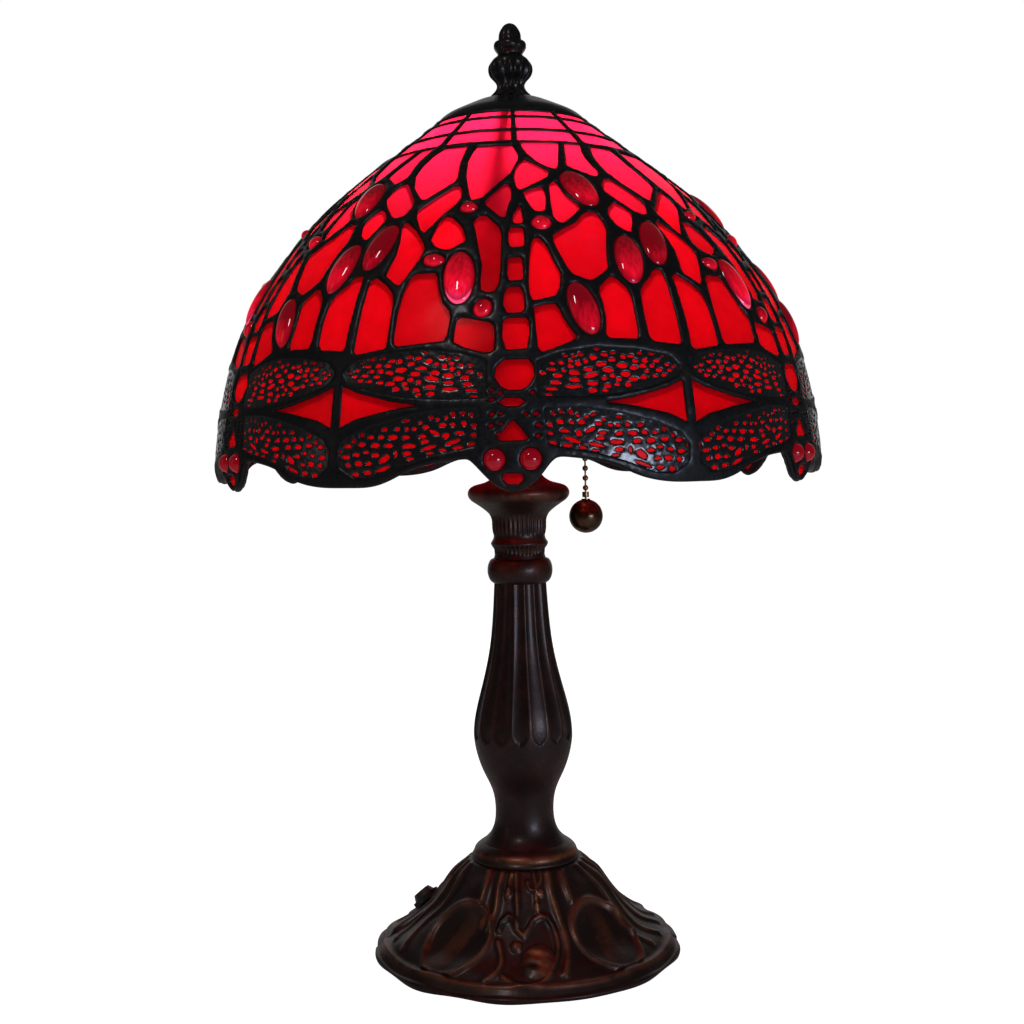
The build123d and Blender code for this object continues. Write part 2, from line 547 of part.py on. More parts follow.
def make_switch():
    elbow = 5.4
    level = Line((17.2, 0, CHAIN_Z), (CHAIN_X - elbow, 0, CHAIN_Z))
    bend = TangentArc((CHAIN_X - elbow, 0, CHAIN_Z), (CHAIN_X, 0, CHAIN_Z - elbow), tangent=(1, 0, 0))
    drop = Line((CHAIN_X, 0, CHAIN_Z - elbow), (CHAIN_X, 0, GUIDE_MOUTH + 3))
    path = Wire([level, bend, drop])
    start = Plane(origin=(17.2, 0, CHAIN_Z), z_dir=(1, 0, 0))
    guide = sweep(start * Circle(3.1), path=path)
    mouth = Pos(CHAIN_X, 0, GUIDE_MOUTH) * Cone(4.6, 3.1, 3, align=STANDING)
    guide += mouth
    guide += Pos(CHAIN_X, 0, GUIDE_MOUTH) * Torus(4.5, 0.5)
    guide -= sweep(start * Circle(2.2), path=path)
    guide -= Pos(CHAIN_X, 0, GUIDE_MOUTH - 1) * Cone(4.4, 2.2, 5, align=STANDING)
    guide += rod((15.4, 0, CHAIN_Z), (17.2, 0, CHAIN_Z), 3.1) - rod((15, 0, CHAIN_Z), (18, 0, CHAIN_Z), 2.2)
    save("chain_guide", guide)

    pin_z = CHAIN_Z - LEVER_R
    save("lever_pin", rod((LEVER_X, -8, pin_z), (LEVER_X, 8, pin_z), 1.2))
    arm = Pos(LEVER_X, 0, pin_z) * (Rot(X=90) * Cylinder(2.6, 1.6)
                                    + Pos(0, 0, LEVER_R / 2) * Box(2.4, 1.6, LEVER_R + 2))
    arm -= rod((LEVER_X, -8, pin_z), (LEVER_X, 8, pin_z), 1.27)
    save("pull_lever", arm)
    turns = [Pos(LEVER_X, y, pin_z) * Rot(X=90) * Torus(2.0, 0.35) for y in (1.25, 1.95)]
    save("lever_spring", *turns)

    feed_beads = [Pos(FEED_X - BEAD_PITCH * i, 0, CHAIN_Z) * Sphere(BEAD_R) for i in range(FEED_BEADS)]
    feed = rod((LEVER_X + 1.6, 0, CHAIN_Z), (FEED_X, 0, CHAIN_Z), CORE_R)
    save("chain_feed", feed + feed_beads)

    lead_top = (CHAIN_X, 0, SWING_Z + BEAD_PITCH)
    save("chain_lead", rod((CHAIN_X, 0, SWING_Z + 1.6), lead_top, CORE_R) + Pos(lead_top) * Sphere(BEAD_R))
    drop_beads = [Pos(CHAIN_X, 0, SWING_Z - BEAD_PITCH * i) * Sphere(BEAD_R) for i in range(DROP_BEADS)]
    save("chain_drop", rod((CHAIN_X, 0, SWING_Z), (CHAIN_X, 0, COUPLING_Z[1]), CORE_R) + drop_beads)
    sleeve = rod((CHAIN_X, 0, COUPLING_Z[0]), (CHAIN_X, 0, COUPLING_Z[1]), 1.7)
    save("chain_coupling", sleeve - Pos(CHAIN_X, 0, LINK_Z) * Sphere(LINK_R + 0.08))
    ball = Pos(CHAIN_X, 0, BALL_Z) * Sphere(BALL_R)
    ball += Pos(CHAIN_X, 0, BALL_Z + BALL_R - 1) * Cylinder(2.2, 1.2, align=STANDING)
    ball += rod((CHAIN_X, 0, BALL_Z + BALL_R), (CHAIN_X, 0, LINK_Z), CORE_R)
    ball += Pos(CHAIN_X, 0, LINK_Z) * Sphere(LINK_R)
    save("pull_ball", ball)


def make_bulb():
    glass = turned([(12.2, 305.5), (12.6, 312), (16, 322), (25, 340), (30, 360), (27.5, 377), (18, 388.4),
                    (0, BULB_Z),
                    (0, BULB_Z - 0.8), (17.6, 387.7), (26.7, 376.6), (29.2, 360), (24.2, 340.3),
                    (15.2, 322.3),
                    (11.8, 312), (11.4, 305.5)], smooth=[(0, 7), (8, 15)])
    save("bulb_glass", glass)
    base = turned([(13.1, 305.4), (13.1, 293), (9, 290.6), (6, 290.6), (6, 291.6), (8.6, 291.6),
                   (12.4, 293.6),
                   (12.4, 305.4)])
    save("bulb_base", base)
    tip = turned([(0, 289.0), (3.5, 289.4), (5.9, 290.6), (5.9, 293), (0, 293)])
    save("bulb_contact", tip)
    stem = turned([(0, 305), (8, 305), (5.5, 309), (2.6, 315), (2.2, 335), (0, 335)])
    wires = [rod((side * 1.2, 0, 334), (side * 9, 0, 352), 0.5) for side in (1, -1)]
    filament = rod((-10, 0, 352), (10, 0, 352), 0.8)
    save("bulb_mount", stem + wires + filament)


make_shade()
make_finial()
make_foot()
make_column()
make_harp()
make_socket()
make_switch()
make_bulb()
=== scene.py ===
import math
import random

import bpy
import numpy as np
from mathutils import Euler, Matrix, Vector, kdtree
from mathutils.geometry import delaunay_2d_cdt


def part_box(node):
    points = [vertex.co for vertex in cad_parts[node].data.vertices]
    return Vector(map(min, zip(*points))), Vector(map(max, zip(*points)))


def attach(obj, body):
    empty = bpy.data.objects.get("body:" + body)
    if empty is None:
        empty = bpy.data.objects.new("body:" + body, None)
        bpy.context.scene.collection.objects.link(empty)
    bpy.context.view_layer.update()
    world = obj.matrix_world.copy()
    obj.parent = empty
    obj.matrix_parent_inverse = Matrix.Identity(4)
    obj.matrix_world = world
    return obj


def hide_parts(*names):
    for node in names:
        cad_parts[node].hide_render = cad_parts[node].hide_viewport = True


# Dragonfly table lamp: the looks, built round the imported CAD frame.
# Lengths are millimetres until mesh_piece() turns them into metres. The lamp's front faces -Y.
# Angles are degrees round the axis from the front, positive towards +X.
# Arc lengths run down the outer face of the shade's glass, from ARC_TOP at its upper edge.

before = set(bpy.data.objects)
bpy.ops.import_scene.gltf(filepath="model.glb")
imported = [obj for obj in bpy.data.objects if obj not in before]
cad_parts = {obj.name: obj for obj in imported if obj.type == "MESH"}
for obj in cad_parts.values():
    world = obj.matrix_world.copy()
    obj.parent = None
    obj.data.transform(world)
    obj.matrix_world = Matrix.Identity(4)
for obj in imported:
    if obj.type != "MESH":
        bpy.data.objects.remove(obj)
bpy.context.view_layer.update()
MM = 0.001
random.seed(7)

# ---------------------------------------------------------------- driving dimensions, as in the CAD
PANELS = 6
PITCH = 360 / PANELS
GLASS = 3.0
ARC_TOP = 10.5
SHADE_LINE = [                  # (radius, height) of the glass's outer face
    (38.1, 413.0), (60.2, 396.0), (80.3, 380.0), (97.6, 364.0), (117.4, 340.0),
    (132.2, 316.0), (143.1, 284.0), (147.4, 260.0), (148.2, 246.0), (146.2, 235.0),
]
LEAN = -0.8                     # the dragonfly's axis

# Finish of the shade
SOLDER = 1.0                    # height of the solder lines
SOLDER_REACH = 1.9              # the solder's crown is this far from the glass
GLASS_TOP = -0.12
GLASS_BOTTOM = -2.9
RIM_R = 1.5                     # wire along the lower edge
PLATE = 0.42                    # height of the filigree bars
PLATE_REACH = 0.5               # the bars' crown is this far from a hole
SOLDER_ROWS = (0.28, 0.75, 1.35)  # distances of the rows of points beside each opening in the lead
ROW_SPACING = 0.95              # between the points of a row
JEWEL_SEAT = -1.2               # height of the jewels' girdle on the shade
JEWEL_BACK = -1.7               # their flat back, below the girdle
HOLE_PLAY = (0.2, 0.1)          # added to a small hole's width and height
HOLE_WOBBLE = 0.16              # unevenness of a small hole's outline
HOLE_CORNERS = 9

# Light and looks
PAINTED_GLASS_GLOW = 0.10               # painted glow of the panes, standing for the lamp's light bounced inside the shade, beside the light that passes them
LIGHT_THROUGH_RED = (0.85, 0.12, 0.20)  # colour of the lamp's light once it has passed red glass
WING_TONE = 0.7                 # tone of the panes behind the wing plates; the others' lie between 0 and 1
BULB_GLOW = 1.4
BULB_WATTS = 0.8
FLOOR_GLOW = 1.0                # keeps the floor as pale as the backdrop without lighting the lamp from below
ROOM_LIGHT = 0.05               # strength of the room's light on the lamp

# Camera: metres, degrees, and millimetres for the lens
CAMERA_PLACE = (0, -0.709, 0.2543)
CAMERA_DOWN = 2.6
CAMERA_TURN = 0.28
CAMERA_ROLL = -1.12
CAMERA_LENS = 49.6


# ---------------------------------------------------------------- mesh helpers
def mesh_piece(name, places, faces, material, body, nodes, crease=40, values=None):
    """A shaded mesh from millimetre points, which rides on a body and stands for CAD nodes."""
    mesh = bpy.data.meshes.new(name)
    mesh.from_pydata((np.asarray(places, float) * MM).tolist(), [], faces)
    for key, numbers in (values or {}).items():
        attribute = mesh.attributes.new(key, "FLOAT", "POINT")
        attribute.data.foreach_set("value", np.asarray(numbers, np.float32))
    mesh.validate()
    mesh.shade_smooth()
    mesh.set_sharp_from_angle(angle=math.radians(crease))
    mesh.materials.append(material)
    piece = bpy.data.objects.new(name, mesh)
    bpy.context.collection.objects.link(piece)
    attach(piece, body)
    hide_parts(*nodes)


class Build:
    """Points and faces of one piece, gathered part by part."""

    def __init__(self):
        self.places = []
        self.faces = []
        self.values = []
        self.count = 0

    def add(self, places, faces, value=0.0):
        places = np.asarray(places, float).reshape(-1, 3)
        self.places.append(places)
        self.faces += [tuple(self.count + i for i in face) for face in faces]
        self.values.append(np.broadcast_to(np.asarray(value), (len(places),)))
        self.count += len(places)

    def arrays(self):
        return np.concatenate(self.places), self.faces, np.concatenate(self.values)


def turned_about(places, degrees):
    """Points turned about the lamp's axis."""
    turn = math.radians(degrees)
    cos, sin = math.cos(turn), math.sin(turn)
    x, y, z = np.asarray(places).T
    return np.stack([x * cos - y * sin, x * sin + y * cos, z], axis=1)


# ---------------------------------------------------------------- smooth lines
def spline_table(points, samples):
    """A natural cubic spline through points, as (run along it, x, y) rows."""
    knots = np.array(points, float)
    span = np.hypot(*np.diff(knots, axis=0).T)
    count = len(knots)
    matrix = np.eye(count)
    right = np.zeros((count, 2))
    for i in range(1, count - 1):
        matrix[i, i - 1:i + 2] = span[i - 1], 2 * (span[i - 1] + span[i]), span[i]
        right[i] = 6 * ((knots[i + 1] - knots[i]) / span[i] - (knots[i] - knots[i - 1]) / span[i - 1])
    bend = np.linalg.solve(matrix, right)
    along = np.concatenate([[0], np.cumsum(span)])
    places = np.linspace(0, along[-1], samples)
    index = np.clip(np.searchsorted(along, places, side="right") - 1, 0, count - 2)
    step = (places - along[index])[:, None]
    size = span[index][:, None]
    slope = (knots[index + 1] - knots[index]) / size - size * (2 * bend[index] + bend[index + 1]) / 6
    line = knots[index] + slope * step + bend[index] * step ** 2 / 2
    line += (bend[index + 1] - bend[index]) * step ** 3 / (6 * size)
    run = np.concatenate([[0], np.cumsum(np.hypot(*np.diff(line, axis=0).T))])
    return np.column_stack([run, line])


SHADE_TABLE = spline_table(SHADE_LINE, 1200)
SHADE_TABLE[:, 0] += ARC_TOP


def shade_radius(arc):
    return np.interp(arc, SHADE_TABLE[:, 0], SHADE_TABLE[:, 1])


def on_shade(angle, arc, lift):
    """Points at angles and arc lengths, lifted off the glass's outer face."""
    angle, arc, lift = np.broadcast_arrays(np.radians(angle), np.asarray(arc, float), lift)
    run = SHADE_TABLE[:, 0]
    inside = np.clip(arc, run[0] + 0.2, run[-1] - 0.2)
    ends = [np.column_stack([np.interp(inside + d, run, SHADE_TABLE[:, i]) for i in (1, 2)])
            for d in (-0.2, 0.2)]
    along = ends[1] - ends[0]
    along /= np.hypot(*along.T)[:, None]
    middle = (ends[0] + ends[1]) / 2 + along * (arc - inside)[:, None]
    radius = middle[:, 0] - along[:, 1] * lift
    height = middle[:, 1] + along[:, 0] * lift
    return np.column_stack([radius * np.sin(angle), -radius * np.cos(angle), height])


# ---------------------------------------------------------------- the pattern of one panel
def band(left, right, top, bottom, steps=4):
    """Corners of a strip that follows the shade's rings."""
    width = (right - left) / steps
    upper = [(left + width * i, top) for i in range(steps + 1)]
    lower = [(right - width * i, bottom) for i in range(steps + 1)]
    return upper + lower


BANDS = [band(left, right, top, bottom)
         for left, right in ((-28.3, -0.4), (2.4, 28.5))
         for top, bottom in ((11.6, 16.8), (19.0, 30.4), (32.6, 43.2))]

SKY = [
    [(-27.2, 46.5), (-17.4, 46.5), (-17.2, 61), (-15.7, 75), (-16.4, 79), (-22.4, 90), (-23.6, 89.5),
     (-27.8, 80), (-30.4, 70), (-30.7, 60), (-29.6, 52)],
    [(-13.3, 48), (0.2, 48), (2.0, 57), (1.6, 62), (-0.6, 73), (-7.6, 91), (-10, 92.5), (-10.8, 89),
     (-13.2, 74), (-14.4, 61), (-14.0, 53)],
    [(3.4, 45), (18.8, 45), (14.0, 67), (12.8, 69.8), (10.5, 68), (7.6, 63), (5.0, 55), (3.7, 49)],
    [(4.0, 61.5), (10.8, 72), (9.6, 76.5), (6.2, 81), (1.8, 86.5), (1.0, 84), (0.4, 76), (1.0, 69),
     (2.2, 64.5)],
    [(21.2, 45), (28.2, 45), (26.2, 52), (25.6, 58), (26.0, 65), (26.8, 69), (25.6, 73), (24, 74.7),
     (22, 72.6), (17.8, 67.8), (17.1, 65.5)],
    [(24.9, 81), (26.6, 76), (28.6, 75.8), (31, 81), (34.2, 89.5), (34.7, 94), (33.6, 99.5), (31.6, 100.6),
     (30, 99), (26.4, 91), (24.6, 86)],
    [(22.4, 101), (23.2, 97.3), (25, 93.6), (25.9, 93.6), (27.6, 96.6), (28.8, 100.5), (27.8, 106),
     (26.3, 112), (25, 111.6), (23.4, 108.4), (22.6, 104)],
    [(-23.3, 97), (-22, 94), (-15.8, 82), (-14.2, 81.2), (-13.2, 85), (-13, 90), (-13.8, 94.5),
     (-16.5, 101.5), (-18.5, 108), (-19.6, 111.3), (-20.8, 109), (-22.8, 101)],
    [(-6.8, 93.5), (-6, 91), (-2.1, 81.6), (-1, 81.8), (-0.4, 86), (-0.5, 92), (-1.3, 98), (-1.8, 103.8),
     (-2.6, 104.3), (-4.1, 101), (-6.2, 96.4)],
    [(2.6, 88), (3.5, 86.8), (7.4, 83.8), (7.9, 86), (8.1, 91), (7.8, 95.5), (7.2, 100.3), (5.5, 101),
     (4.6, 99.3), (3.3, 93)],
    [(9.6, 82), (10.8, 80), (11.6, 79.8), (12.1, 82), (13.1, 89.5), (15.7, 96), (15.9, 98.2), (13.9, 102.8),
     (11, 108), (9.8, 107.2), (9, 104), (9.1, 93)],
    [(8.2, 115), (10, 112.2), (14, 107), (16, 102.2), (17.6, 100.3), (19.4, 101.4), (20.3, 107), (20.3, 112),
     (19.4, 118), (18.4, 127), (18.1, 133), (16.6, 136), (14.5, 139.3), (13.6, 139.2), (11, 136.4),
     (10.1, 133), (8.8, 124), (8.2, 119)],
    [(4.4, 116), (5.5, 117.4), (6.6, 121.5), (7.5, 129), (8.6, 136.5), (8.1, 143), (7.3, 146.8), (5.6, 148),
     (3.2, 149.2), (2.7, 146), (2.6, 140), (3, 128), (3.6, 119.5)],
    [(-25.5, 104.6), (-24.8, 103.8), (-21.6, 109.8), (-19.2, 116.8), (-18.4, 120.8), (-18.8, 125),
     (-19.8, 130.6), (-21.1, 137.2), (-21.9, 139.6), (-22.9, 138.4), (-25.2, 134.2), (-25.2, 131),
     (-24.4, 123), (-24.7, 115), (-25.5, 108)],
    [(-15.6, 102.2), (-14.5, 102.2), (-13.4, 103.8), (-11.6, 108), (-10.5, 112.5), (-9.9, 117.2),
     (-11, 119.2), (-13, 121.9), (-14.5, 121.6), (-16.3, 119.4), (-17.5, 116), (-17.3, 112), (-16.7, 106)],
    [(-7.6, 102.8), (-6, 102.8), (-4.9, 105.6), (-3.1, 110), (-2.6, 114), (-2.6, 134), (-2.9, 141),
     (-3.6, 144.4), (-5, 145), (-6, 143.6), (-6.2, 139), (-6.1, 131), (-7, 122), (-8, 112), (-8.8, 106.4)],
    [(3.3, 152.5), (5, 151.2), (7, 151), (7.6, 153), (8.3, 157.5), (9.5, 163), (10.3, 165.6), (9.4, 167.3),
     (6, 170.8), (4.3, 172), (3.7, 170), (3.5, 162)],
    [(18.3, 137.2), (19.1, 138.2), (20.8, 143), (21.3, 147), (21.3, 163), (21, 166.4), (16, 166.2),
     (15.4, 164.4), (15.8, 157), (15.7, 150), (15.3, 146), (15.6, 142.8), (17, 139.4)],
    [(23.4, 145), (24.5, 141), (26.5, 137), (27.5, 133.8), (28.2, 133), (29.6, 133.3), (29.7, 141),
     (29.6, 155), (29.5, 167), (29.1, 168.6), (24, 167.5), (23.3, 165), (23.1, 156)],
    [(-28.4, 136.5), (-27.3, 134.7), (-24.6, 139), (-22.8, 143.5), (-22.3, 148), (-22.3, 167.8),
     (-22.8, 168.8), (-28, 170.6), (-28.6, 169), (-28.5, 150)],
    [(-19.7, 136), (-18.6, 134.2), (-15, 134.2), (-14.4, 137), (-13.8, 143), (-12.8, 149.4), (-11.5, 153),
     (-11.2, 156), (-11.6, 164), (-12, 166.4), (-14, 166.7), (-20, 167.9), (-20.8, 167.2), (-21, 164),
     (-21, 153), (-20.5, 143)],
    [(-10, 157.6), (-9.2, 156.4), (-8, 156.8), (-4.4, 158.8), (-3.6, 160.5), (-3.5, 166), (-3.6, 171),
     (-5, 171.9), (-8.5, 169.4), (-10.3, 167), (-10.3, 163)],
]

TAIL = [
    [(1.3, 96.8), (1.9, 99), (2.1, 107), (1.6, 108.2), (0.3, 108.2), (-0.2, 106), (0.1, 102)],
    [(-0.6, 110.6), (1.8, 110.6), (2.2, 113), (2.1, 120.4), (1.6, 121.7), (-0.6, 121.7), (-1, 119),
     (-1.1, 113)],
    [(-0.8, 127.4), (1.2, 127.4), (1.6, 129), (1.6, 138), (1.1, 139.4), (-0.9, 139.4), (-1.3, 136),
     (-1.2, 129)],
    [(-1.2, 142.6), (0.9, 142.6), (1.6, 146), (1.6, 153), (1.1, 154.7), (-1.4, 154.7), (-2, 151),
     (-1.9, 146)],
    [(-1.6, 157.2), (1.8, 157), (2.3, 159), (2.3, 164), (1.8, 170.4), (-1.6, 170.8), (-2.2, 165),
     (-2.1, 159)],
    [(-1.9, 175), (2, 175), (2.8, 178), (2.9, 182), (1.9, 186), (0.8, 187.6), (-1.2, 187.6), (-2.5, 186),
     (-3.5, 182), (-3.2, 178)],
    [(-2.9, 192.6), (-1.9, 190.8), (0.4, 190.8), (1.4, 192.6), (0.2, 194.2), (-1.7, 194.2)],
    [(-0.7, 200), (-0.2, 200.8), (1.7, 207.2), (1.2, 208), (-2.6, 208), (-3.1, 207.2), (-1.2, 200.8)],
    [(-2.2, 221.2), (0.6, 221.2), (0.9, 223.4), (0, 225.6), (-1.6, 225.6), (-2.5, 223.4)],
]

WING_UPPER = [(4.2, 176), (8.2, 172.5), (14.2, 170.4), (21.2, 171.4), (27.2, 174), (28.9, 178.5),
              (27.7, 182.5), (23.2, 186.5), (17.2, 189.3), (10.2, 190.5), (4.2, 190.3)]
WING_LOWER = [(5.2, 195.5), (11.2, 195.5), (17.2, 198), (23.2, 202), (27.7, 206.5), (29, 211),
              (28.7, 217.5), (26.2, 221.8), (22.7, 221.3), (18.2, 217), (13.2, 213.2), (8.2, 211),
              (5.7, 209.5)]
KITE = [(15.2, 193), (20.2, 191), (26.2, 187), (29.1, 184), (29.1, 201.5), (26.2, 198), (20.2, 194.7)]


def both_sides(outline):
    """A wing-side outline and its mirror image about the dragonfly's own axis."""
    right = [(LEAN + a, s) for a, s in outline]
    left = [(LEAN - a, s) for a, s in reversed(outline)]
    return [right, left]


WINGS = both_sides(WING_UPPER) + both_sides(WING_LOWER)
KITES = both_sides(KITE)

# Cabochons: (angle, arc length, width, height, tilt in degrees)
JEWELS_LARGE = [
    (17.7, 84.3, 14.0, 25.6, 14),
    (23.2, 127.6, 12.6, 26.4, -8),
    (30.8, 117.6, 12.6, 26.0, -12),
    (-10.3, 136.8, 13.0, 26.4, 4),
    (12.0, 152.8, 11.8, 24.4, 14),
]
JEWELS_SMALL = [
    (-10.4, 97.4, 7.6, 5.8, 0),
    (6.1, 108.0, 8.4, 7.6, 0),
    (-15.8, 127.5, 9.4, 6.4, -8),
    (-5.6, 152.3, 7.4, 8.6, -25),
]
EYES = [(LEAN + side * 2.8, 215.5, 8.4, 8.4, 0) for side in (1, -1)]
JEWEL_LAP = 0.2                   # how far a jewel's edge runs in under the solder

# The lower edge of the shade, one panel wide, left to right
SCALLOP = [(-31, 225.5), (-28.5, 225.6), (-24, 225), (-21, 222.6), (-18, 219), (-15, 216.6), (-12, 215),
           (-9.5, 214.4), (-7.5, 214.6), (-6.6, 216.4), (-5, 221), (-3.2, 225.4), (-1.6, 227.6), (-0.8, 228),
           (0, 227.6), (1.6, 225.4), (3.4, 221), (4.8, 216.4), (5.8, 214.4), (8, 214), (10.4, 214.8),
           (13.4, 216.2), (16.4, 218.6), (19.4, 222), (22.4, 224.2), (26, 225.4), (29, 225.6), (31, 225.5)]

# Holes in the wing plates, outward from the dragonfly's axis: (angle, arc length, width in degrees,
# height in mm, tilt in degrees where it slopes)
UPPER_HOLES = [
    (27.8, 178.5, 0.7, 0.9), (26.5, 177.6, 0.8, 1.2), (26.9, 180.1, 0.9, 1.2), (25.7, 174.5, 0.6, 0.6),
    (24.6, 176.1, 1.2, 1.2), (24.9, 180, 1.2, 1.4), (25.7, 182, 1, 1.4), (23.9, 173.2, 1.2, 1.2),
    (23.7, 178.3, 0.9, 1.2), (24, 182.5, 0.9, 1.1), (22.5, 176, 1, 1.8), (22, 178.3, 1.1, 1.6),
    (22.6, 180.6, 1, 1.2), (21.9, 183.1, 1.1, 1.4), (21.7, 172.8, 0.8, 1.2), (20.7, 176.1, 1, 1.6),
    (20, 174.1, 1.1, 1.4), (20.3, 179.1, 1.4, 1.6), (20.1, 183.8, 1.5, 1.6), (18.6, 174.5, 0.8, 1.8),
    (18.3, 178.1, 1.8, 2), (18.7, 181.7, 1.7, 2), (17.5, 183.9, 0.9, 1.4), (19, 186.1, 1.1, 1.8),
    (17.2, 186, 0.8, 1.2), (16.9, 172.8, 0.9, 1.2), (16.6, 175.7, 1.1, 1.6), (15.8, 180, 1.7, 1.8),
    (16.5, 182.5, 0.8, 1.6), (15.4, 173.4, 1.2, 1.6), (14.7, 177.6, 1.7, 1.5), (15.1, 183.5, 0.8, 1.6),
    (15.5, 186.6, 1.1, 1.6), (15.1, 188.5, 1, 1.2), (14.2, 171, 0.8, 1.2), (13.5, 174.7, 1.2, 2),
    (12.5, 179.7, 1.4, 1.6), (13, 182.1, 2.3, 1.7, -12), (13.1, 185.5, 1.9, 1.6), (13, 188.4, 1.3, 1.8),
    (12.2, 176.1, 0.8, 1.6), (11.3, 173.2, 0.9, 1.6), (10.9, 177.1, 0.8, 2), (10.2, 181, 1.6, 1.8),
    (10.1, 184, 1.7, 1.4), (9.9, 186.7, 2.4, 1.4), (9.7, 176, 0.8, 1.2), (9.6, 178.3, 0.8, 1.8),
    (10.2, 174, 0.7, 1.2), (8.8, 173.8, 0.7, 1.2), (8.5, 180, 0.6, 1.4), (8.1, 176.8, 0.8, 1.4),
    (7.4, 182.2, 1.4, 1.6), (7, 185, 1.4, 1.6), (6.4, 187.5, 1.8, 1.2), (6.6, 177, 0.7, 1.2),
    (6.6, 179.6, 1.4, 0.9), (5, 181, 0.8, 1.4), (5.9, 190, 1.1, 0.9),
]
LOWER_HOLES = [
    (29.1, 211.1, 1.2, 1.8), (27.3, 209.1, 1.4, 1.6), (27.6, 213.6, 1.4, 1.6), (27.2, 216.9, 0.8, 2),
    (27.9, 221.2, 0.8, 1.6), (26.2, 207, 0.7, 1.8), (24.7, 204.5, 0.9, 1.8), (24.6, 208.5, 1.3, 1.6),
    (25.6, 212.7, 1.1, 1.4), (25.2, 216.3, 1.3, 2), (25.9, 220.8, 1.2, 1.8), (23.8, 211.8, 0.9, 1.2),
    (23.3, 216.4, 1.1, 1.3), (23.7, 220, 1.3, 1.6), (23, 205.7, 0.9, 1.4), (22.2, 209, 1.4, 2),
    (22.1, 213, 1.4, 1.6), (21.2, 205.7, 0.9, 1.6), (20.6, 202.6, 1, 1.6), (19.8, 209.2, 1.4, 1.6),
    (20.5, 214.5, 1.9, 2.4, 35), (20.8, 218.6, 2.6, 1.3, 20), (19.2, 205.9, 1.5, 1.8),
    (18.6, 212.7, 0.5, 2.6), (18.4, 202.5, 0.8, 1.4), (16.9, 206, 1.2, 1.6), (16.8, 202.6, 0.6, 1.4),
    (17, 199.3, 1.2, 1.2), (16.4, 209.5, 2.3, 1.6), (16.7, 212.6, 1.3, 1.6), (16.2, 214.7, 1.2, 1),
    (15.5, 202.6, 0.7, 1.2), (14.5, 200.2, 0.6, 1), (14.2, 205.7, 1.3, 1.4), (13.8, 207.9, 1.3, 1.4),
    (13.6, 202, 1, 1.4), (13.1, 210.4, 2.5, 1.3, 15), (12.9, 212.8, 1.1, 1.1), (12.8, 198.1, 0.8, 1.4),
    (12.2, 204.4, 1.6, 1.4, -25), (11.7, 199, 0.6, 1.2), (10.9, 201.2, 1.1, 1.6), (10.4, 205.7, 1, 2.4),
    (9.3, 208.3, 2.6, 1.4, 20), (10.9, 211.4, 1.1, 1.2), (10.3, 198.3, 0.5, 1.2), (9.3, 197, 0.7, 2.4),
    (9.3, 201.3, 0.7, 1.4), (7.5, 200.9, 0.9, 1.8), (8.2, 204.6, 1.4, 1.3), (8.5, 210.6, 1.6, 1.2),
    (7.7, 196.8, 0.7, 1.2), (6.4, 197.5, 0.6, 1.4), (5.9, 202, 0.7, 1.6), (5.9, 205.5, 1, 1.2),
    (6.3, 209.5, 1.2, 1.8),
]

# Small openings in the thorax: (angle, arc length, width in degrees, height in mm)
THORAX_HOLES = [
    (-3.9, 187.5, 0.8, 1.2), (-2.6, 188.8, 0.7, 1.6), (-4, 191.4, 1, 1.2), (2.5, 188.8, 0.7, 1.6),
    (-3.9, 197.3, 0.8, 1.8), (-4.1, 202, 0.8, 1.6), (-2.5, 201.3, 0.7, 1), (3, 197.3, 0.8, 1.8),
    (3.3, 202, 0.8, 1.6), (1.4, 197.5, 0.6, 1.2), (-2.5, 197, 0.6, 1), (-2.9, 205.4, 0.7, 1.4),
    (3.2, 206.4, 0.7, 1.5),
]


def flat(outline):
    """Panel coordinates in millimetres from (angle, arc length) corners."""
    corners = np.array(outline, float)
    return np.column_stack([np.radians(corners[:, 0]) * shade_radius(corners[:, 1]), corners[:, 1]])


def unflat(places):
    """Angles and arc lengths from panel coordinates."""
    return np.degrees(places[:, 0] / shade_radius(places[:, 1])), places[:, 1]


def divided(corners, step):
    """A closed line with its long sides divided."""
    line = []
    for here, ahead in zip(corners, np.roll(corners, -1, axis=0)):
        parts = max(1, round(np.hypot(*(ahead - here)) / step))
        line += [here + (ahead - here) * i / parts for i in range(parts)]
    return np.array(line)


def eased(corners, reach, step):
    """A closed line with its corners rounded over reach millimetres."""
    line = []
    for before, here, ahead in zip(np.roll(corners, 1, axis=0), corners, np.roll(corners, -1, axis=0)):
        sides = [before - here, ahead - here]
        sizes = [np.hypot(*side) for side in sides]
        start, end = [here + side * min(reach, 0.42 * size) / size for side, size in zip(sides, sizes)]
        line += [(1 - t) ** 2 * start + 2 * t * (1 - t) * here + t * t * end for t in (0, 0.35, 0.65, 1)]
    kept = [line[0]]
    for place in line[1:]:
        if np.hypot(*(place - kept[-1])) > 0.12:
            kept.append(place)
    if np.hypot(*(kept[-1] - kept[0])) < 0.12:
        kept.pop()
    return counter_clockwise(divided(np.array(kept), step))


def counter_clockwise(line):
    x, y = line.T
    area = np.sum(x * np.roll(y, -1) - y * np.roll(x, -1))
    return line if area > 0 else line[::-1]


def ellipse(angle, arc, wide, tall, tilt=0.0, corners=24, wobble=0.0):
    """An oval on the shade in panel coordinates, from sizes in millimetres.

    Each corner's angle is taken at its own height, which keeps the oval's lean away from the panel's middle.
    """
    lean = math.radians(tilt)
    line = []
    for i in range(corners):
        turn = 2 * math.pi * i / corners
        size = 1 + wobble * random.uniform(-1, 1)
        x, y = wide / 2 * math.cos(turn) * size, tall / 2 * math.sin(turn) * size
        across = x * math.cos(lean) - y * math.sin(lean)
        down = x * math.sin(lean) + y * math.cos(lean)
        line.append((angle + math.degrees(across / shade_radius(arc + down)), arc + down))
    return counter_clockwise(flat(line))


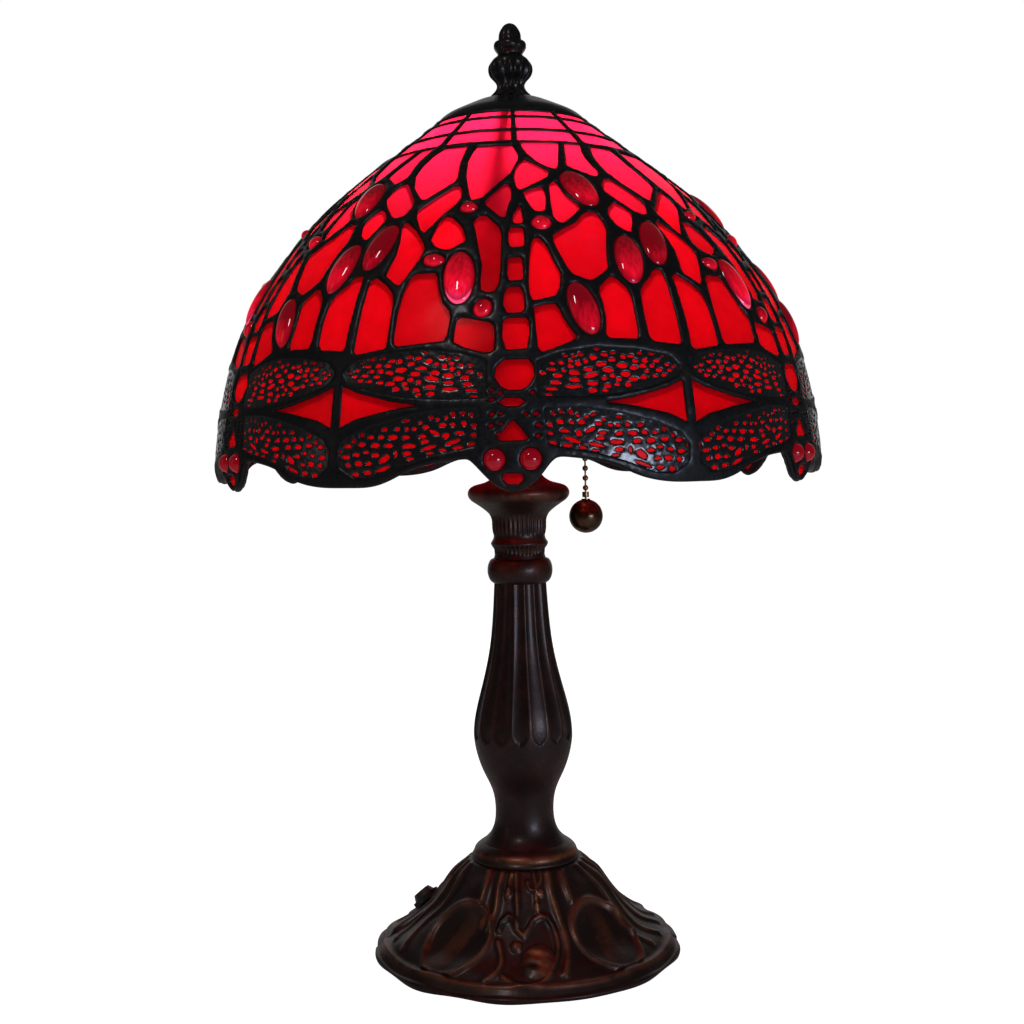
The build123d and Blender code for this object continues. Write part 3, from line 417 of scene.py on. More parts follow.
def small_hole(angle, arc, wide_degrees, tall, tilt=0.0):
    """A hand-cut hole, from its width in degrees and its height in millimetres."""
    wide = math.radians(wide_degrees) * shade_radius(arc)
    return ellipse(angle, arc, wide + HOLE_PLAY[0], tall + HOLE_PLAY[1], tilt, HOLE_CORNERS, HOLE_WOBBLE)


def near_lines(places, loops):
    """Distance from each point to the nearest of several closed lines."""
    corners = np.concatenate(loops)
    following = np.concatenate([np.roll(loop, -1, axis=0) for loop in loops])
    leading = np.concatenate([np.roll(loop, 1, axis=0) for loop in loops])
    tree = kdtree.KDTree(len(corners))
    for i, (x, y) in enumerate(corners):
        tree.insert((x, y, 0), i)
    tree.balance()
    nearest = np.array([tree.find((x, y, 0))[1] for x, y in places])
    best = np.full(len(places), np.inf)
    for other in (following, leading):
        start, side = corners[nearest], other[nearest] - corners[nearest]
        size = np.maximum(np.sum(side ** 2, axis=1), 1e-9)
        share = np.clip(np.sum((places - start) * side, axis=1) / size, 0, 1)
        best = np.minimum(best, np.hypot(*(places - start - side * share[:, None]).T))
    return best


def offset_points(loop, distance, spacing):
    """Points beside a counter-clockwise closed line, outside it."""
    line = divided(loop, spacing)
    along = np.roll(line, -1, axis=0) - np.roll(line, 1, axis=0)
    along /= np.maximum(np.hypot(*along.T), 1e-9)[:, None]
    return line + np.column_stack([along[:, 1], -along[:, 0]]) * distance


def crown(distance, reach):
    """Height of a rounded bead, from 0 at its edge to 1 at reach."""
    return np.sqrt(1 - (1 - np.clip(distance / reach, 0, 1)) ** 2)


def triangulate(loops, loose):
    """Triangles between closed lines and loose points, each with the set of loops that hold it."""
    places = [Vector(p) for loop in loops for p in loop] + [Vector(p) for p in loose]
    rings = []
    start = 0
    for loop in loops:
        rings.append(list(range(start, start + len(loop))))
        start += len(loop)
    found, _, triangles, _, _, sources = delaunay_2d_cdt(places, [], rings, 0, 1e-4, True)
    return np.array([p[:] for p in found]), np.array(triangles), [set(source) for source in sources]


def frame_line():
    """A closed line round the panel, wide enough for the panes that cross its seams."""
    return np.array([(-95, 0), (95, 0), (95, 240), (-95, 240)], float)


def slab(build, points, triangles, top, bottom, value):
    """A closed slab on the shade: its triangles at two lifts, joined by walls at their open edges."""
    used, index = np.unique(triangles, return_inverse=True)
    triangles = index.reshape(-1, 3)
    angles, arcs = unflat(points[used])
    upper = on_shade(angles, arcs, top[used])
    lower = on_shade(angles, arcs, bottom[used])
    count = len(used)
    edges = {}
    for a, b, c in triangles.tolist():
        for edge in ((a, b), (b, c), (c, a)):
            edges[edge] = edges.get(edge, 0) + 1
    faces = [(a, c, b) for a, b, c in triangles.tolist()]
    faces += [(a + count, b + count, c + count) for a, b, c in triangles.tolist()]
    faces += [(a, b, b + count, a + count) for a, b in edges if (b, a) not in edges]
    build.add(np.concatenate([upper, lower]), faces, np.concatenate([value[used], value[used]]))


# ---------------------------------------------------------------- leaded shade
PANE_LOOPS = [eased(flat(line), 0.5, 0.7) for line in BANDS + SKY + TAIL + WINGS + KITES]
WING_PANES = slice(len(BANDS + SKY + TAIL), len(BANDS + SKY + TAIL + WINGS))
THORAX_LOOPS = [small_hole(*hole) for hole in THORAX_HOLES]
CABOCHONS = JEWELS_LARGE + JEWELS_SMALL + EYES
JEWEL_LOOPS = [ellipse(angle, arc, wide, tall, -tilt, 48) for angle, arc, wide, tall, tilt in CABOCHONS]


def neighbours(loops):
    """The next panels' loops that come near this panel's edges."""
    beside = []
    for loop in loops:
        angles, arcs = unflat(loop)
        for turn in (PITCH, -PITCH):
            if np.any(np.abs(angles + turn) < PITCH / 2 + 6):
                beside.append(flat(np.column_stack([angles + turn, arcs])))
    return beside


def panel_border():
    """The panel's outline: its upper edge, its two seams and its scalloped lower edge."""
    half = PITCH / 2
    low = next(s for a, s in SCALLOP if a > -half)
    seam = np.linspace(ARC_TOP, low, 216)
    scallop = [(a, s) for a, s in SCALLOP if abs(a) < half]
    smooth = spline_table(flat([(-half, low)] + scallop + [(half, low)]), 220)[:, 1:]
    top = np.column_stack([np.linspace(half, -half, 31)[1:-1], np.full(29, ARC_TOP)])
    left = flat(np.column_stack([np.full(216, -half), seam]))
    right = flat(np.column_stack([np.full(216, half), seam[::-1]]))
    return counter_clockwise(np.concatenate([left, smooth[1:-1], right, flat(top)])), smooth


def lead_points(loops):
    """Loose points that carry the solder's crown: rows beside each opening, and a sparse fill."""
    rows = [(offset_points(loop, distance, ROW_SPACING), distance)
            for loop in loops for distance in SOLDER_ROWS]
    offsets = np.concatenate([np.full(len(row), distance) for row, distance in rows])
    rows = np.concatenate([row for row, _ in rows])
    rows = rows[near_lines(rows, loops) > 0.86 * offsets]
    return np.concatenate([rows, fill_points(loops, 1.25, 1.8)])


def fill_points(loops, step, clearance):
    """A staggered grid over the panel, clear of closed lines."""
    fill = grid_points(step)
    return fill[near_lines(fill, loops) > clearance]


def grid_points(step):
    """A staggered grid over the panel."""
    rows = []
    for i, arc in enumerate(np.arange(ARC_TOP + step, 229, step)):
        half = math.radians(PITCH / 2) * shade_radius(arc)
        line = np.arange(-half + step * (0.5 + 0.5 * (i % 2)), half - 0.4 * step, step)
        rows.append(np.column_stack([line, np.full(len(line), arc)]))
    return np.concatenate(rows)


def ripple(places, size, waves=7):
    """A gentle random swell between about -1 and 1, with features of the given size."""
    swell = np.zeros(len(places))
    for _ in range(waves):
        aim = Vector([random.gauss(0, 1) for _ in range(places.shape[1])]).normalized()
        pace = random.uniform(0.6, 1.5) * 2 * math.pi / size
        swell += np.sin(places @ np.array(aim) * pace + random.uniform(0, 2 * math.pi))
    return swell / math.sqrt(waves)


def settled(heights, triangles, held, rounds):
    """Heights smoothed over a mesh, except where held."""
    sides = np.concatenate([triangles[:, [0, 1]], triangles[:, [1, 2]], triangles[:, [2, 0]]])
    for _ in range(rounds):
        total = np.zeros(len(heights))
        count = np.zeros(len(heights))
        for here, there in ((0, 1), (1, 0)):
            np.add.at(total, sides[:, here], heights[sides[:, there]])
            np.add.at(count, sides[:, here], 1)
        heights = np.where(held, heights, 0.5 * heights + 0.5 * total / np.maximum(count, 1))
    return heights


def rim_wire(build, scallop):
    """The wire soldered along the scalloped edge."""
    angles, arcs = unflat(scallop)
    middle = on_shade(angles, arcs - 0.4, -1.4)
    out = on_shade(angles, arcs - 0.4, -0.4) - middle
    along = np.gradient(middle, axis=0)
    along /= np.linalg.norm(along, axis=1)[:, None]
    across = np.cross(along, out)
    sides = 14
    turns = [2 * math.pi * i / sides for i in range(sides)]
    rings = np.stack([middle + RIM_R * (math.cos(t) * out + math.sin(t) * across) for t in turns], axis=1)
    build.add(rings, tube_faces(len(middle), sides), 1.0)


def tube_faces(count, sides, capped=True):
    """Faces of a tube of rings, whose points run ring by ring."""
    faces = []
    for i in range(count - 1):
        for j in range(sides):
            k = (j + 1) % sides
            faces.append((i * sides + j, i * sides + k, (i + 1) * sides + k, (i + 1) * sides + j))
    if capped:
        faces.append(tuple(range(sides))[::-1])
        faces.append(tuple((count - 1) * sides + j for j in range(sides)))
    return faces


def build_lead():
    """One panel's copper foil, solder lines and rim wire."""
    border, scallop = panel_border()
    loops = PANE_LOOPS + THORAX_LOOPS + JEWEL_LOOPS
    loops = loops + neighbours(loops)
    points, triangles, sources = triangulate([border] + loops, lead_points(loops))
    kept = [i for i, source in enumerate(sources) if source == {0}]
    triangles = triangles[kept]
    distance = np.minimum(near_lines(points, loops), near_lines(points, [scallop]) + 0.5)
    height = crown(distance, SOLDER_REACH)
    height *= 1 + 0.13 * ripple(points, 5.0) + 0.05 * ripple(points, 2.2)
    height = settled(height, triangles, distance < 0.03, 3)
    build = Build()
    slab(build, points, triangles, 0.04 + SOLDER * height, -GLASS - 0.75 * SOLDER * height, height)
    rim_wire(build, scallop)
    return build.arrays()


def build_glass():
    """One panel's panes, and which pane each point belongs to."""
    loops = PANE_LOOPS + THORAX_LOOPS
    loose = grid_points(2.6)
    loose = np.concatenate([loose, loose + [85, 0], loose - [85, 0]])
    loose = loose[near_lines(loose, loops) > 1.1]
    points, triangles, sources = triangulate([frame_line()] + loops, loose)
    owner = np.array([max(source) - 1 if source else -1 for source in sources])
    build = Build()
    for pane in range(len(loops)):
        own = triangles[owner == pane]
        top = GLASS_TOP + 0.05 * ripple(points, 17, 3)
        slab(build, points, own, top, np.full(len(points), GLASS_BOTTOM), np.full(len(points), float(pane)))
    return build.arrays()


def build_plates():
    """One panel's pierced wing plates."""
    holes = []
    for table in (UPPER_HOLES, LOWER_HOLES):
        for side in (1, -1):
            for out, arc, wide, tall, *tilt in table:
                holes.append(small_hole(LEAN + side * out, arc, wide, tall, side * sum(tilt)))
    wings = [offset_points(loop, 0.35, 0.8) for loop in PANE_LOOPS[WING_PANES]]
    rows = np.concatenate([offset_points(loop, distance, 0.6) for loop in holes for distance in (0.2, 0.45)])
    rows = rows[near_lines(rows, holes) > 0.16]
    loose = np.concatenate([rows, fill_points(holes, 1.1, 0.75)])
    points, triangles, sources = triangulate([frame_line()] + wings + holes, loose)
    own = [i for i, source in enumerate(sources) if source & {1, 2, 3, 4} and max(source) <= 4]
    distance = near_lines(points, holes)
    top = 0.02 + PLATE * crown(distance, PLATE_REACH) * (1 + 0.12 * ripple(points, 3.0))
    build = Build()
    slab(build, points, triangles[own], top, np.full(len(points), -0.1), crown(distance, PLATE_REACH))
    return build.arrays()


def cabochon(build, angle, arc, wide, tall, tilt, depth, dark, rows=13, sides=44):
    """A domed jewel with a flat back.

    Its value is complex. The real part runs from 0 at the crown to 1 at the girdle, and the other part from
    dark at the lower end to 1 + dark at the upper end. Both steer the jewel's painted glow and painted shade,
    and a larger dark gives the whole jewel more painted shade.
    """
    seat = on_shade([angle], [arc], JEWEL_SEAT)[0]
    out = on_shade([angle], [arc], 0.0)[0] - seat
    out /= np.linalg.norm(out)
    across = np.array([math.cos(math.radians(angle)), math.sin(math.radians(angle)), 0])
    upward = np.cross(out, across)
    lean = math.radians(tilt)
    side_axis = across * math.cos(lean) + upward * math.sin(lean)
    long_axis = upward * math.cos(lean) - across * math.sin(lean)
    turns = np.linspace(0, 2 * math.pi, sides, endpoint=False)
    half_wide, half_tall = wide / 2 + JEWEL_LAP, tall / 2 + JEWEL_LAP
    ring = np.outer(np.cos(turns) * half_wide, side_axis) + np.outer(np.sin(turns) * half_tall, long_axis)
    slopes = np.linspace(0, math.pi / 2 * 0.97, rows)
    spreads = [1.0] + [math.cos(slope) for slope in slopes]
    lifts = [JEWEL_BACK] + [depth * math.sin(slope) ** 0.92 for slope in slopes]
    rings = np.concatenate([seat + ring * spread + out * lift for spread, lift in zip(spreads, lifts)])
    height = rings[:, 2]
    # painted shade: dark shifts the whole jewel towards its dark top colour
    fall = dark + (height - height.min()) / (height.max() - height.min())
    build.add(rings, tube_faces(rows + 1, sides), np.repeat(spreads, sides) + 1j * fall)


def in_every_panel(arrays):
    """The same mesh arrays repeated in all the panels."""
    places, faces, values = arrays
    build = Build()
    for i in range(PANELS):
        build.add(turned_about(places, PITCH * i), faces, values)
    return build.arrays()


# ---------------------------------------------------------------- turned and carved bronze
def carved(node, outline, inner, sides, rows, relief, material, body):
    """A turned piece that stands for a CAD node. Its outside carries relief, and inner's points close it.

    relief(angle, run, radius) gives how far each point stands out, and how worn its finish is.
    """
    table = spline_table(outline, 600)
    runs = np.linspace(0, table[-1, 0], rows)
    radius, height = (np.interp(runs, table[:, 0], table[:, i]) for i in (1, 2))
    along = np.gradient(np.column_stack([radius, height]), axis=0)
    along /= np.hypot(*along.T)[:, None]
    angles = np.linspace(-180, 180, sides, endpoint=False)
    angle, run = np.meshgrid(angles, runs)
    stands, worn = relief(angle, run, np.broadcast_to(radius[:, None], angle.shape))
    out = radius[:, None] - along[:, 1:2] * stands
    up = height[:, None] + along[:, 0:1] * stands
    turn = np.radians(angle)
    outside = np.stack([out * np.sin(turn), -out * np.cos(turn), up], axis=-1).reshape(-1, 3)
    round_x, round_y = np.sin(np.radians(angles)), -np.cos(np.radians(angles))
    inside = [np.column_stack([r * round_x, r * round_y, np.full(sides, z)]) for r, z in inner]
    places = np.concatenate([outside] + inside)
    total = rows + len(inner)
    faces = tube_faces(total, sides, capped=False)
    last = (total - 1) * sides
    faces += [(last + j, last + (j + 1) % sides, (j + 1) % sides, j) for j in range(sides)]
    faces = [face[::-1] for face in faces]
    values = np.concatenate([worn.ravel(), np.zeros(len(inner) * sides)])
    mesh_piece(f"{node}_cast", places, faces, material, body, [node], 50, {"worn": values})


def fluting(count, first, depth, start, end, fillet=0.12):
    """Relief of round-ended flutes between narrow fillets, from one run to another."""
    pitch = 360 / count

    def relief(angle, run, radius):
        phase = np.abs((angle - first + pitch / 2) % pitch - pitch / 2) / (pitch / 2)
        across = np.clip((1 - phase) / (1 - fillet), 0, 1)
        reach = np.radians(pitch / 2) * radius
        ends = np.clip(np.minimum(run - start, end - run) / (1.3 * reach), 0, 1)
        open_width = np.sqrt(1 - (1 - ends) ** 2)
        hollow = np.clip(1 - (across / np.maximum(open_width, 1e-3)) ** 2, 0, 1) ** 0.85
        edge = np.exp(-(phase / 0.22) ** 2) * (ends > 0)
        return -depth * hollow, 0.1 * edge
    return relief


def line_distance(angle, run, scale, stroke):
    """Distance in millimetres from points to a smooth line through (angle, run) corners."""
    line = spline_table(stroke, 16)[:, 1:] if len(stroke) > 2 else np.array(stroke, float)
    best = np.full(angle.shape, np.inf)
    for (a, s), (b, t) in zip(line[:-1], line[1:]):
        side = np.stack([(b - a) * scale, np.full_like(scale, t - s)])
        gap = np.stack([(angle - a) * scale, run - s])
        share = np.clip((gap * side).sum(0) / np.maximum((side ** 2).sum(0), 1e-9), 0, 1)
        best = np.minimum(best, np.hypot(*(gap - side * share)))
    return best


# The foot's ornament, at the front and again at the back: (half width, height, corners as angle and run)
FOOT_RIDGES = [
    (1.5, 1.5, [(-10, 0), (-8, 9), (-6, 20), (-5.5, 27)]),
    (1.2, 1.0, [(-14, 0), (-14.5, 5), (-14, 9)]),
    (1.2, 1.2, [(7, 0), (7.5, 8), (7, 17)]),
    (1.1, 1.1, [(14, 0), (13.5, 4), (9, 9)]),
    (1.0, 0.9, [(1, 6), (3, 10), (7, 11)]),
    (2.0, 1.4, [(21, 0), (19.5, 14), (20.5, 30), (19, 44), (15, 55)]),
    (1.3, 1.4, [(-16, 31), (-15, 26), (-11, 23), (-7, 26), (-5, 31), (-3, 33), (0, 31), (3, 26), (8, 23),
                (13, 24), (15.5, 31), (15, 41), (10, 52)]),
    (1.6, 1.5, [(-15, 37), (-12, 45), (-12.5, 52), (-17, 58)]),
    (1.5, 1.0, [(-10, 55), (-4, 59), (4, 59), (9, 54)]),
    (2.0, 1.6, [(-23, 0), (-22, 12), (-21, 22), (-23, 30)]),
    (1.7, 1.3, [(-38, 0), (-34, 9), (-33, 18)]),
    (1.7, 1.3, [(38, 0), (33, 9), (32, 18)]),
]
FLANK_RIDGES = [(1.8, 1.1, [(start - 4, 2), (start + 2, 20), (start - 3, 38), (start + 3, 54)])
                for start in (64, 76, 88, 100, 112)]
# angle and run, half width in degrees and height
FOOT_LOBES = [(45, 39.5, 17.5, 19.5), (-39, 39.5, 17.5, 19.5)]
FOOT_BUDS = [                               # (angle, run, half width mm, half height mm, height)
    (-5.5, 38.5, 2.9, 3.2, 1.9), (-14, 12, 2.2, 3.4, 1.5), (11, 12, 1.9, 2.2, 1.1),
    (7, 19, 1.8, 2.8, 1.4), (-28, 27, 2.2, 4.0, 0.9),
]
RIM_WAVES = 12
FOOT_LEAF = (4.5, 46.5, 8.5, 10.5, 0.4)      # angle, run, half width, half height, lean


def foot_relief(angle, run, radius):
    """Stems, heart-shaped arches, a leaf and shell-like lobes, over a rolled and waved rim."""
    local = (angle - 3 + 90) % 180 - 90 + 3
    scale = np.radians(1) * radius
    stands = 0.5 * np.sin(np.radians(local * 9 + run * 7)) * np.clip(run / 12, 0, 1)
    worn = np.zeros_like(angle)
    for centre, middle, half_wide, half_tall in FOOT_LOBES:
        narrow = 1 - 0.25 * (run - middle) / half_tall
        rho = np.hypot((local - centre) / (half_wide * narrow), (run - middle) / half_tall)
        stands -= 1.5 * np.clip(1 - rho ** 2, 0, 1) ** 0.8
        ray = np.cos(np.radians((local - centre) * 16 + (run - middle) * 4.0))
        stands += 0.45 * ray * np.clip(1.1 - rho, 0, 1)
        lip = np.exp(-((rho - 1.04) * half_tall / 1.7) ** 2) * (run < 58)
        stands += 1.5 * lip
        worn = np.maximum(worn, 0.55 * lip + 0.35 * np.clip(1 - rho, 0, 1) * (ray > 0))
    for here in (local, local + 180, local - 180):
        for wide, tall, stroke in FOOT_RIDGES + FLANK_RIDGES:
            away = np.abs(here - stroke[0][0]) > 40
            gap = np.where(away, np.inf, line_distance(here, run, scale, stroke))
            ridge = np.exp(-(gap / wide) ** 2)
            stands += tall * ridge
            worn = np.maximum(worn, 0.7 * ridge ** 3)
    for bud_angle, bud_run, wide, tall, high in FOOT_BUDS:
        rho = np.hypot((local - bud_angle) * scale / wide, (run - bud_run) / tall)
        bump = np.clip(1 - rho ** 2, 0, 1) ** 0.7
        stands += high * bump
        worn = np.maximum(worn, 0.9 * bump)
    leaf_angle, leaf_run, wide, tall, lean = FOOT_LEAF
    across, down = (local - leaf_angle) * scale, run - leaf_run
    rho = np.hypot((across + lean * down) / wide, (down - lean * across) / tall)
    blade = np.clip(1 - rho ** 2, 0, 1) ** 0.6
    stands += blade * (1.6 + 0.35 * np.cos(down - lean * across))
    worn = np.maximum(worn, blade)
    wave = np.cos(np.radians((angle - 3) * RIM_WAVES + 180))
    low = np.clip((run - 52) / 14, 0, 1)
    groove = np.exp(-((run - 65) / 1.6) ** 2)
    edge = np.exp(-((run - 60.5) / 1.5) ** 2)
    stands += 1.2 * edge - 0.9 * groove + 0.4 * wave * low
    worn = np.maximum(worn, 0.5 * edge)
    fade = np.clip(run / 1.5, 0, 1) * np.clip((78 - run) / 3, 0, 1)
    return stands * fade, worn


def finial_relief(angle, run, radius):
    """Overlapping petals on the bud and ribs on its base."""
    ribs = np.cos(np.radians(angle * 12))
    petals = np.abs(np.cos(np.radians(angle * 3 + 180 * (run > 18))))
    bud = np.clip((22 - run) / 10, 0, 1)
    base = np.clip((run - 24) / 3, 0, 1)
    depth = 0.06 * radius
    stands = depth * (base * ribs + bud * (petals - 0.6) * 1.6)
    return stands, 0.25 * np.clip(ribs, 0, 1)


# ---------------------------------------------------------------- materials
class Finish:
    """A node material and the few things that every finish needs."""

    def __init__(self, name, **sockets):
        self.material = bpy.data.materials.new(name)
        self.material.use_nodes = True
        self.tree = self.material.node_tree
        self.shader = self.tree.nodes["Principled BSDF"]
        self.output = self.tree.nodes["Material Output"]
        for key, value in sockets.items():
            self.shader.inputs[key.replace("_", " ")].default_value = value
        self.place = self.node("ShaderNodeTexCoord").outputs["Object"]

    def node(self, kind, settings=None, **sockets):
        made = self.tree.nodes.new(kind)
        for key, value in (settings or {}).items():
            setattr(made, key, value)
        for key, value in sockets.items():
            self.feed(made.inputs[key.replace("_", " ")], value)
        return made

    def feed(self, socket, value):
        """Link a socket to another node's output, or set its own value."""
        if isinstance(value, bpy.types.NodeSocket):
            self.tree.links.new(value, socket)
        else:
            socket.default_value = value

    def link(self, source, target):
        self.tree.links.new(source, self.shader.inputs[target] if isinstance(target, str) else target)

    def noise(self, size, detail=3.0, roughness=0.55, stretch=(1, 1, 1)):
        """Noise with features of about size metres, as a number from 0 to 1."""
        mapping = self.node("ShaderNodeMapping", Vector=self.place, Scale=stretch)
        return self.node("ShaderNodeTexNoise", Vector=mapping.outputs[0], Scale=1 / size, Detail=detail,
                         Roughness=roughness).outputs["Fac"]

    def attribute(self, name):
        return self.node("ShaderNodeAttribute", {"attribute_name": name}).outputs["Fac"]

    def height(self):
        return self.node("ShaderNodeSeparateXYZ", Vector=self.place).outputs["Z"]

    def math(self, operation, first, second):
        made = self.node("ShaderNodeMath", {"operation": operation})
        for socket, value in zip(made.inputs, (first, second)):
            self.feed(socket, value)
        return made.outputs[0]

    def stretch(self, value, low, high, to_low=0.0, to_high=1.0):
        made = self.node("ShaderNodeMapRange", {"interpolation_type": "SMOOTHSTEP"}, Value=value)
        for key, number in (("From Min", low), ("From Max", high), ("To Min", to_low), ("To Max", to_high)):
            made.inputs[key].default_value = number
        return made.outputs[0]

    def ramp(self, value, *stops):
        """Colours at positions from 0 to 1."""
        made = self.node("ShaderNodeValToRGB", Fac=value)
        points = made.color_ramp.elements
        while len(points) < len(stops):
            points.new(0.5)
        for point, (position, colour) in zip(points, stops):
            point.position = position
            point.color = (*colour, 1)
        return made.outputs[0]

    def mix(self, share, first, second):
        made = self.node("ShaderNodeMix", {"data_type": "RGBA"}, Factor=share)
        for socket, value in ((made.inputs[6], first), (made.inputs[7], second)):
            self.feed(socket, (*value, 1) if isinstance(value, tuple) else value)
        return made.outputs[2]

    def bump(self, height, distance, strength=1.0, under=None):
        made = self.node("ShaderNodeBump", Height=height, Distance=distance, Strength=strength)
        if under:
            self.tree.links.new(under, made.inputs["Normal"])
        return made.outputs[0]

    def lets_light_through(self, shader, colour):
        """Lamp light passes the surface: for shadow rays alone it is clear, tinted colour."""
        clear = self.node("ShaderNodeBsdfTransparent", Color=(*colour, 1))
        ray = self.node("ShaderNodeLightPath").outputs["Is Shadow Ray"]
        both = self.node("ShaderNodeMixShader", Fac=ray)
        self.tree.links.new(shader, both.inputs[1])
        self.tree.links.new(clear.outputs[0], both.inputs[2])
        self.tree.links.new(both.outputs[0], self.output.inputs["Surface"])


def bronze(name, ground, copper, rough=0.4):
    """Dark lacquered bronze, rubbed to copper where the casting stands proud."""
    finish = Finish(name, Metallic=0.55, Coat_Weight=0.15, Coat_Roughness=0.22, Specular_IOR_Level=0.5)
    cloud = finish.noise(0.012, 4)
    grain = finish.noise(0.0011, 3, 0.6)
    worn = finish.math("MULTIPLY", finish.attribute("worn"), finish.stretch(cloud, 0.3, 0.62))
    base = finish.mix(finish.stretch(cloud, 0.35, 0.75), ground, tuple(c * 1.9 for c in ground))
    rust = finish.stretch(finish.noise(0.006, 5, 0.65), 0.55, 0.8, 0.0, 0.55)
    base = finish.mix(rust, base, tuple(c * 0.3 + g * 0.5 for c, g in zip(copper, ground)))
    finish.link(finish.mix(worn, base, copper), "Base Color")
    finish.link(finish.stretch(grain, 0.2, 0.8, rough - 0.07, rough + 0.14), "Roughness")
    dents = finish.bump(cloud, 0.0006, 0.5)
    finish.link(finish.bump(grain, 0.00012, 0.6, dents), "Normal")
    return finish.material


def black_patina(name, ground=(0.011, 0.011, 0.0115), rough=0.3, metallic=0.75, lacquer=0.3):
    """Black patina over solder: satin, a little uneven, with faint blue and brown in it."""
    finish = Finish(name, Metallic=metallic, Coat_Weight=lacquer, Coat_Roughness=0.18)
    cloud = finish.noise(0.009, 3)
    pits = finish.noise(0.0016, 4, 0.62)
    tone = finish.ramp(cloud, (0.25, ground), (0.5, (0.016, 0.016, 0.018)), (0.72, (0.026, 0.02, 0.016)))
    finish.link(tone, "Base Color")
    finish.link(finish.stretch(pits, 0.25, 0.75, rough - 0.06, rough + 0.16), "Roughness")
    finish.link(finish.bump(pits, 0.00014, 0.45, finish.bump(cloud, 0.0008, 0.4)), "Normal")
    return finish.material


def art_glass():
    """Red sheet glass with the lamp behind it, with painted glow: pinker near the bulb, deeper towards the
    rim.
    """
    finish = Finish("red_art_glass", Roughness=0.28, IOR=1.45, Specular_IOR_Level=0.12,
                    Emission_Strength=PAINTED_GLASS_GLOW)
    streak = finish.noise(0.03, 3, 0.5, (1.6, 1.6, 0.6))
    wisp = finish.noise(0.007, 3, 0.6)
    seen = finish.math("ADD", finish.height(), finish.stretch(streak, 0.2, 0.8, -0.012, 0.012))
    # painted glow: by height, the colour that lets the lamp's light through is pinker high up, near the bulb,
    # and deeper red lower down
    passed = finish.ramp(finish.stretch(seen, 0.235, 0.415),
                         (0.0, (0.90, 0.010, 0.020)), (0.35, (0.94, 0.018, 0.040)),
                         (0.62, (0.94, 0.026, 0.062)), (0.80, (0.94, 0.080, 0.20)),
                         (1.0, (0.94, 0.085, 0.26)))
    tone = finish.stretch(finish.attribute("tone"), -1, 1, 0.56, 1.06)
    tone = finish.math("MULTIPLY", tone, finish.stretch(wisp, 0.2, 0.8, 0.94, 1.05))
    shade = finish.node("ShaderNodeMix", {"data_type": "RGBA", "blend_type": "MULTIPLY"}, Factor=1.0)
    finish.link(passed, shade.inputs[6])
    finish.link(tone, shade.inputs[7])
    colour = shade.outputs[2]
    deep = finish.ramp(wisp, (0.3, (0.42, 0.0, 0.006)), (0.7, (0.52, 0.001, 0.010)))
    finish.link(deep, "Base Color")
    # painted glow: the panes' emission stands for the lamp's light bounced inside the shade
    finish.link(deep, "Emission Color")
    normal = finish.bump(finish.noise(0.012, 2), 0.0007, 0.35)
    finish.link(normal, "Normal")
    back = finish.node("ShaderNodeBsdfTranslucent", Color=colour, Normal=normal)
    both = finish.node("ShaderNodeMixShader", Fac=0.55)
    finish.link(finish.shader.outputs[0], both.inputs[1])
    finish.link(back.outputs[0], both.inputs[2])
    finish.lets_light_through(both.outputs[0], LIGHT_THROUGH_RED)
    return finish.material


def pressed_glass(name, top, middle, foot, glow):
    """A polished cabochon in painted glow: painted shade where its upper half bends away, painted light at
    its lower edge.
    """
    finish = Finish(name, Roughness=0.04, IOR=1.5, Base_Color=(0.12, 0.0, 0.006, 1), Emission_Strength=glow)
    wisp = finish.noise(0.0016, 2, 0.5, (1, 1, 0.1))
    # painted shade: the glow runs from the bright foot colour at the jewel's lower end to the dark top colour
    # at its upper end, with streaks
    fall = finish.math("ADD", finish.attribute("fall"), finish.stretch(wisp, 0.3, 0.7, -0.1, 0.14))
    # painted shade: towards the girdle the colour turns to the dark top colour
    girdle = finish.stretch(finish.attribute("girdle"), 0.7, 0.97, 0.0, 0.75)
    between = tuple((m + t) / 2 for m, t in zip(middle, top))
    colour = finish.ramp(fall, (0.0, foot), (0.28, middle), (0.6, between), (1.0, top))
    colour = finish.mix(girdle, colour, top)
    # painted highlight: a bright crescent along the girdle at the jewel's lower end
    lip = finish.math("MULTIPLY", finish.stretch(finish.attribute("girdle"), 0.88, 0.97),
                      finish.stretch(finish.attribute("fall"), 0.24, 0.08))
    colour = finish.mix(lip, colour, tuple(1.3 * f + 0.06 for f in foot))
    # the jewel's colour goes to its emission: a painted glow
    finish.link(colour, "Emission Color")
    finish.lets_light_through(finish.shader.outputs[0], LIGHT_THROUGH_RED)
    return finish.material


def metal(name, colour, rough, metallic=1.0, grain=0.0009, depth=0.00006, cloud=0.25):
    """Plain metal with fine grain and slight tarnish."""
    finish = Finish(name, Metallic=metallic)
    fine = finish.noise(grain, 3, 0.6)
    tarnish = finish.noise(0.008, 4)
    dark = tuple(c * (1 - cloud) for c in colour)
    finish.link(finish.mix(finish.stretch(tarnish, 0.35, 0.7), colour, dark), "Base Color")
    finish.link(finish.stretch(fine, 0.2, 0.8, rough * 0.8, rough * 1.3), "Roughness")
    finish.link(finish.bump(fine, depth, 0.5), "Normal")
    return finish.material


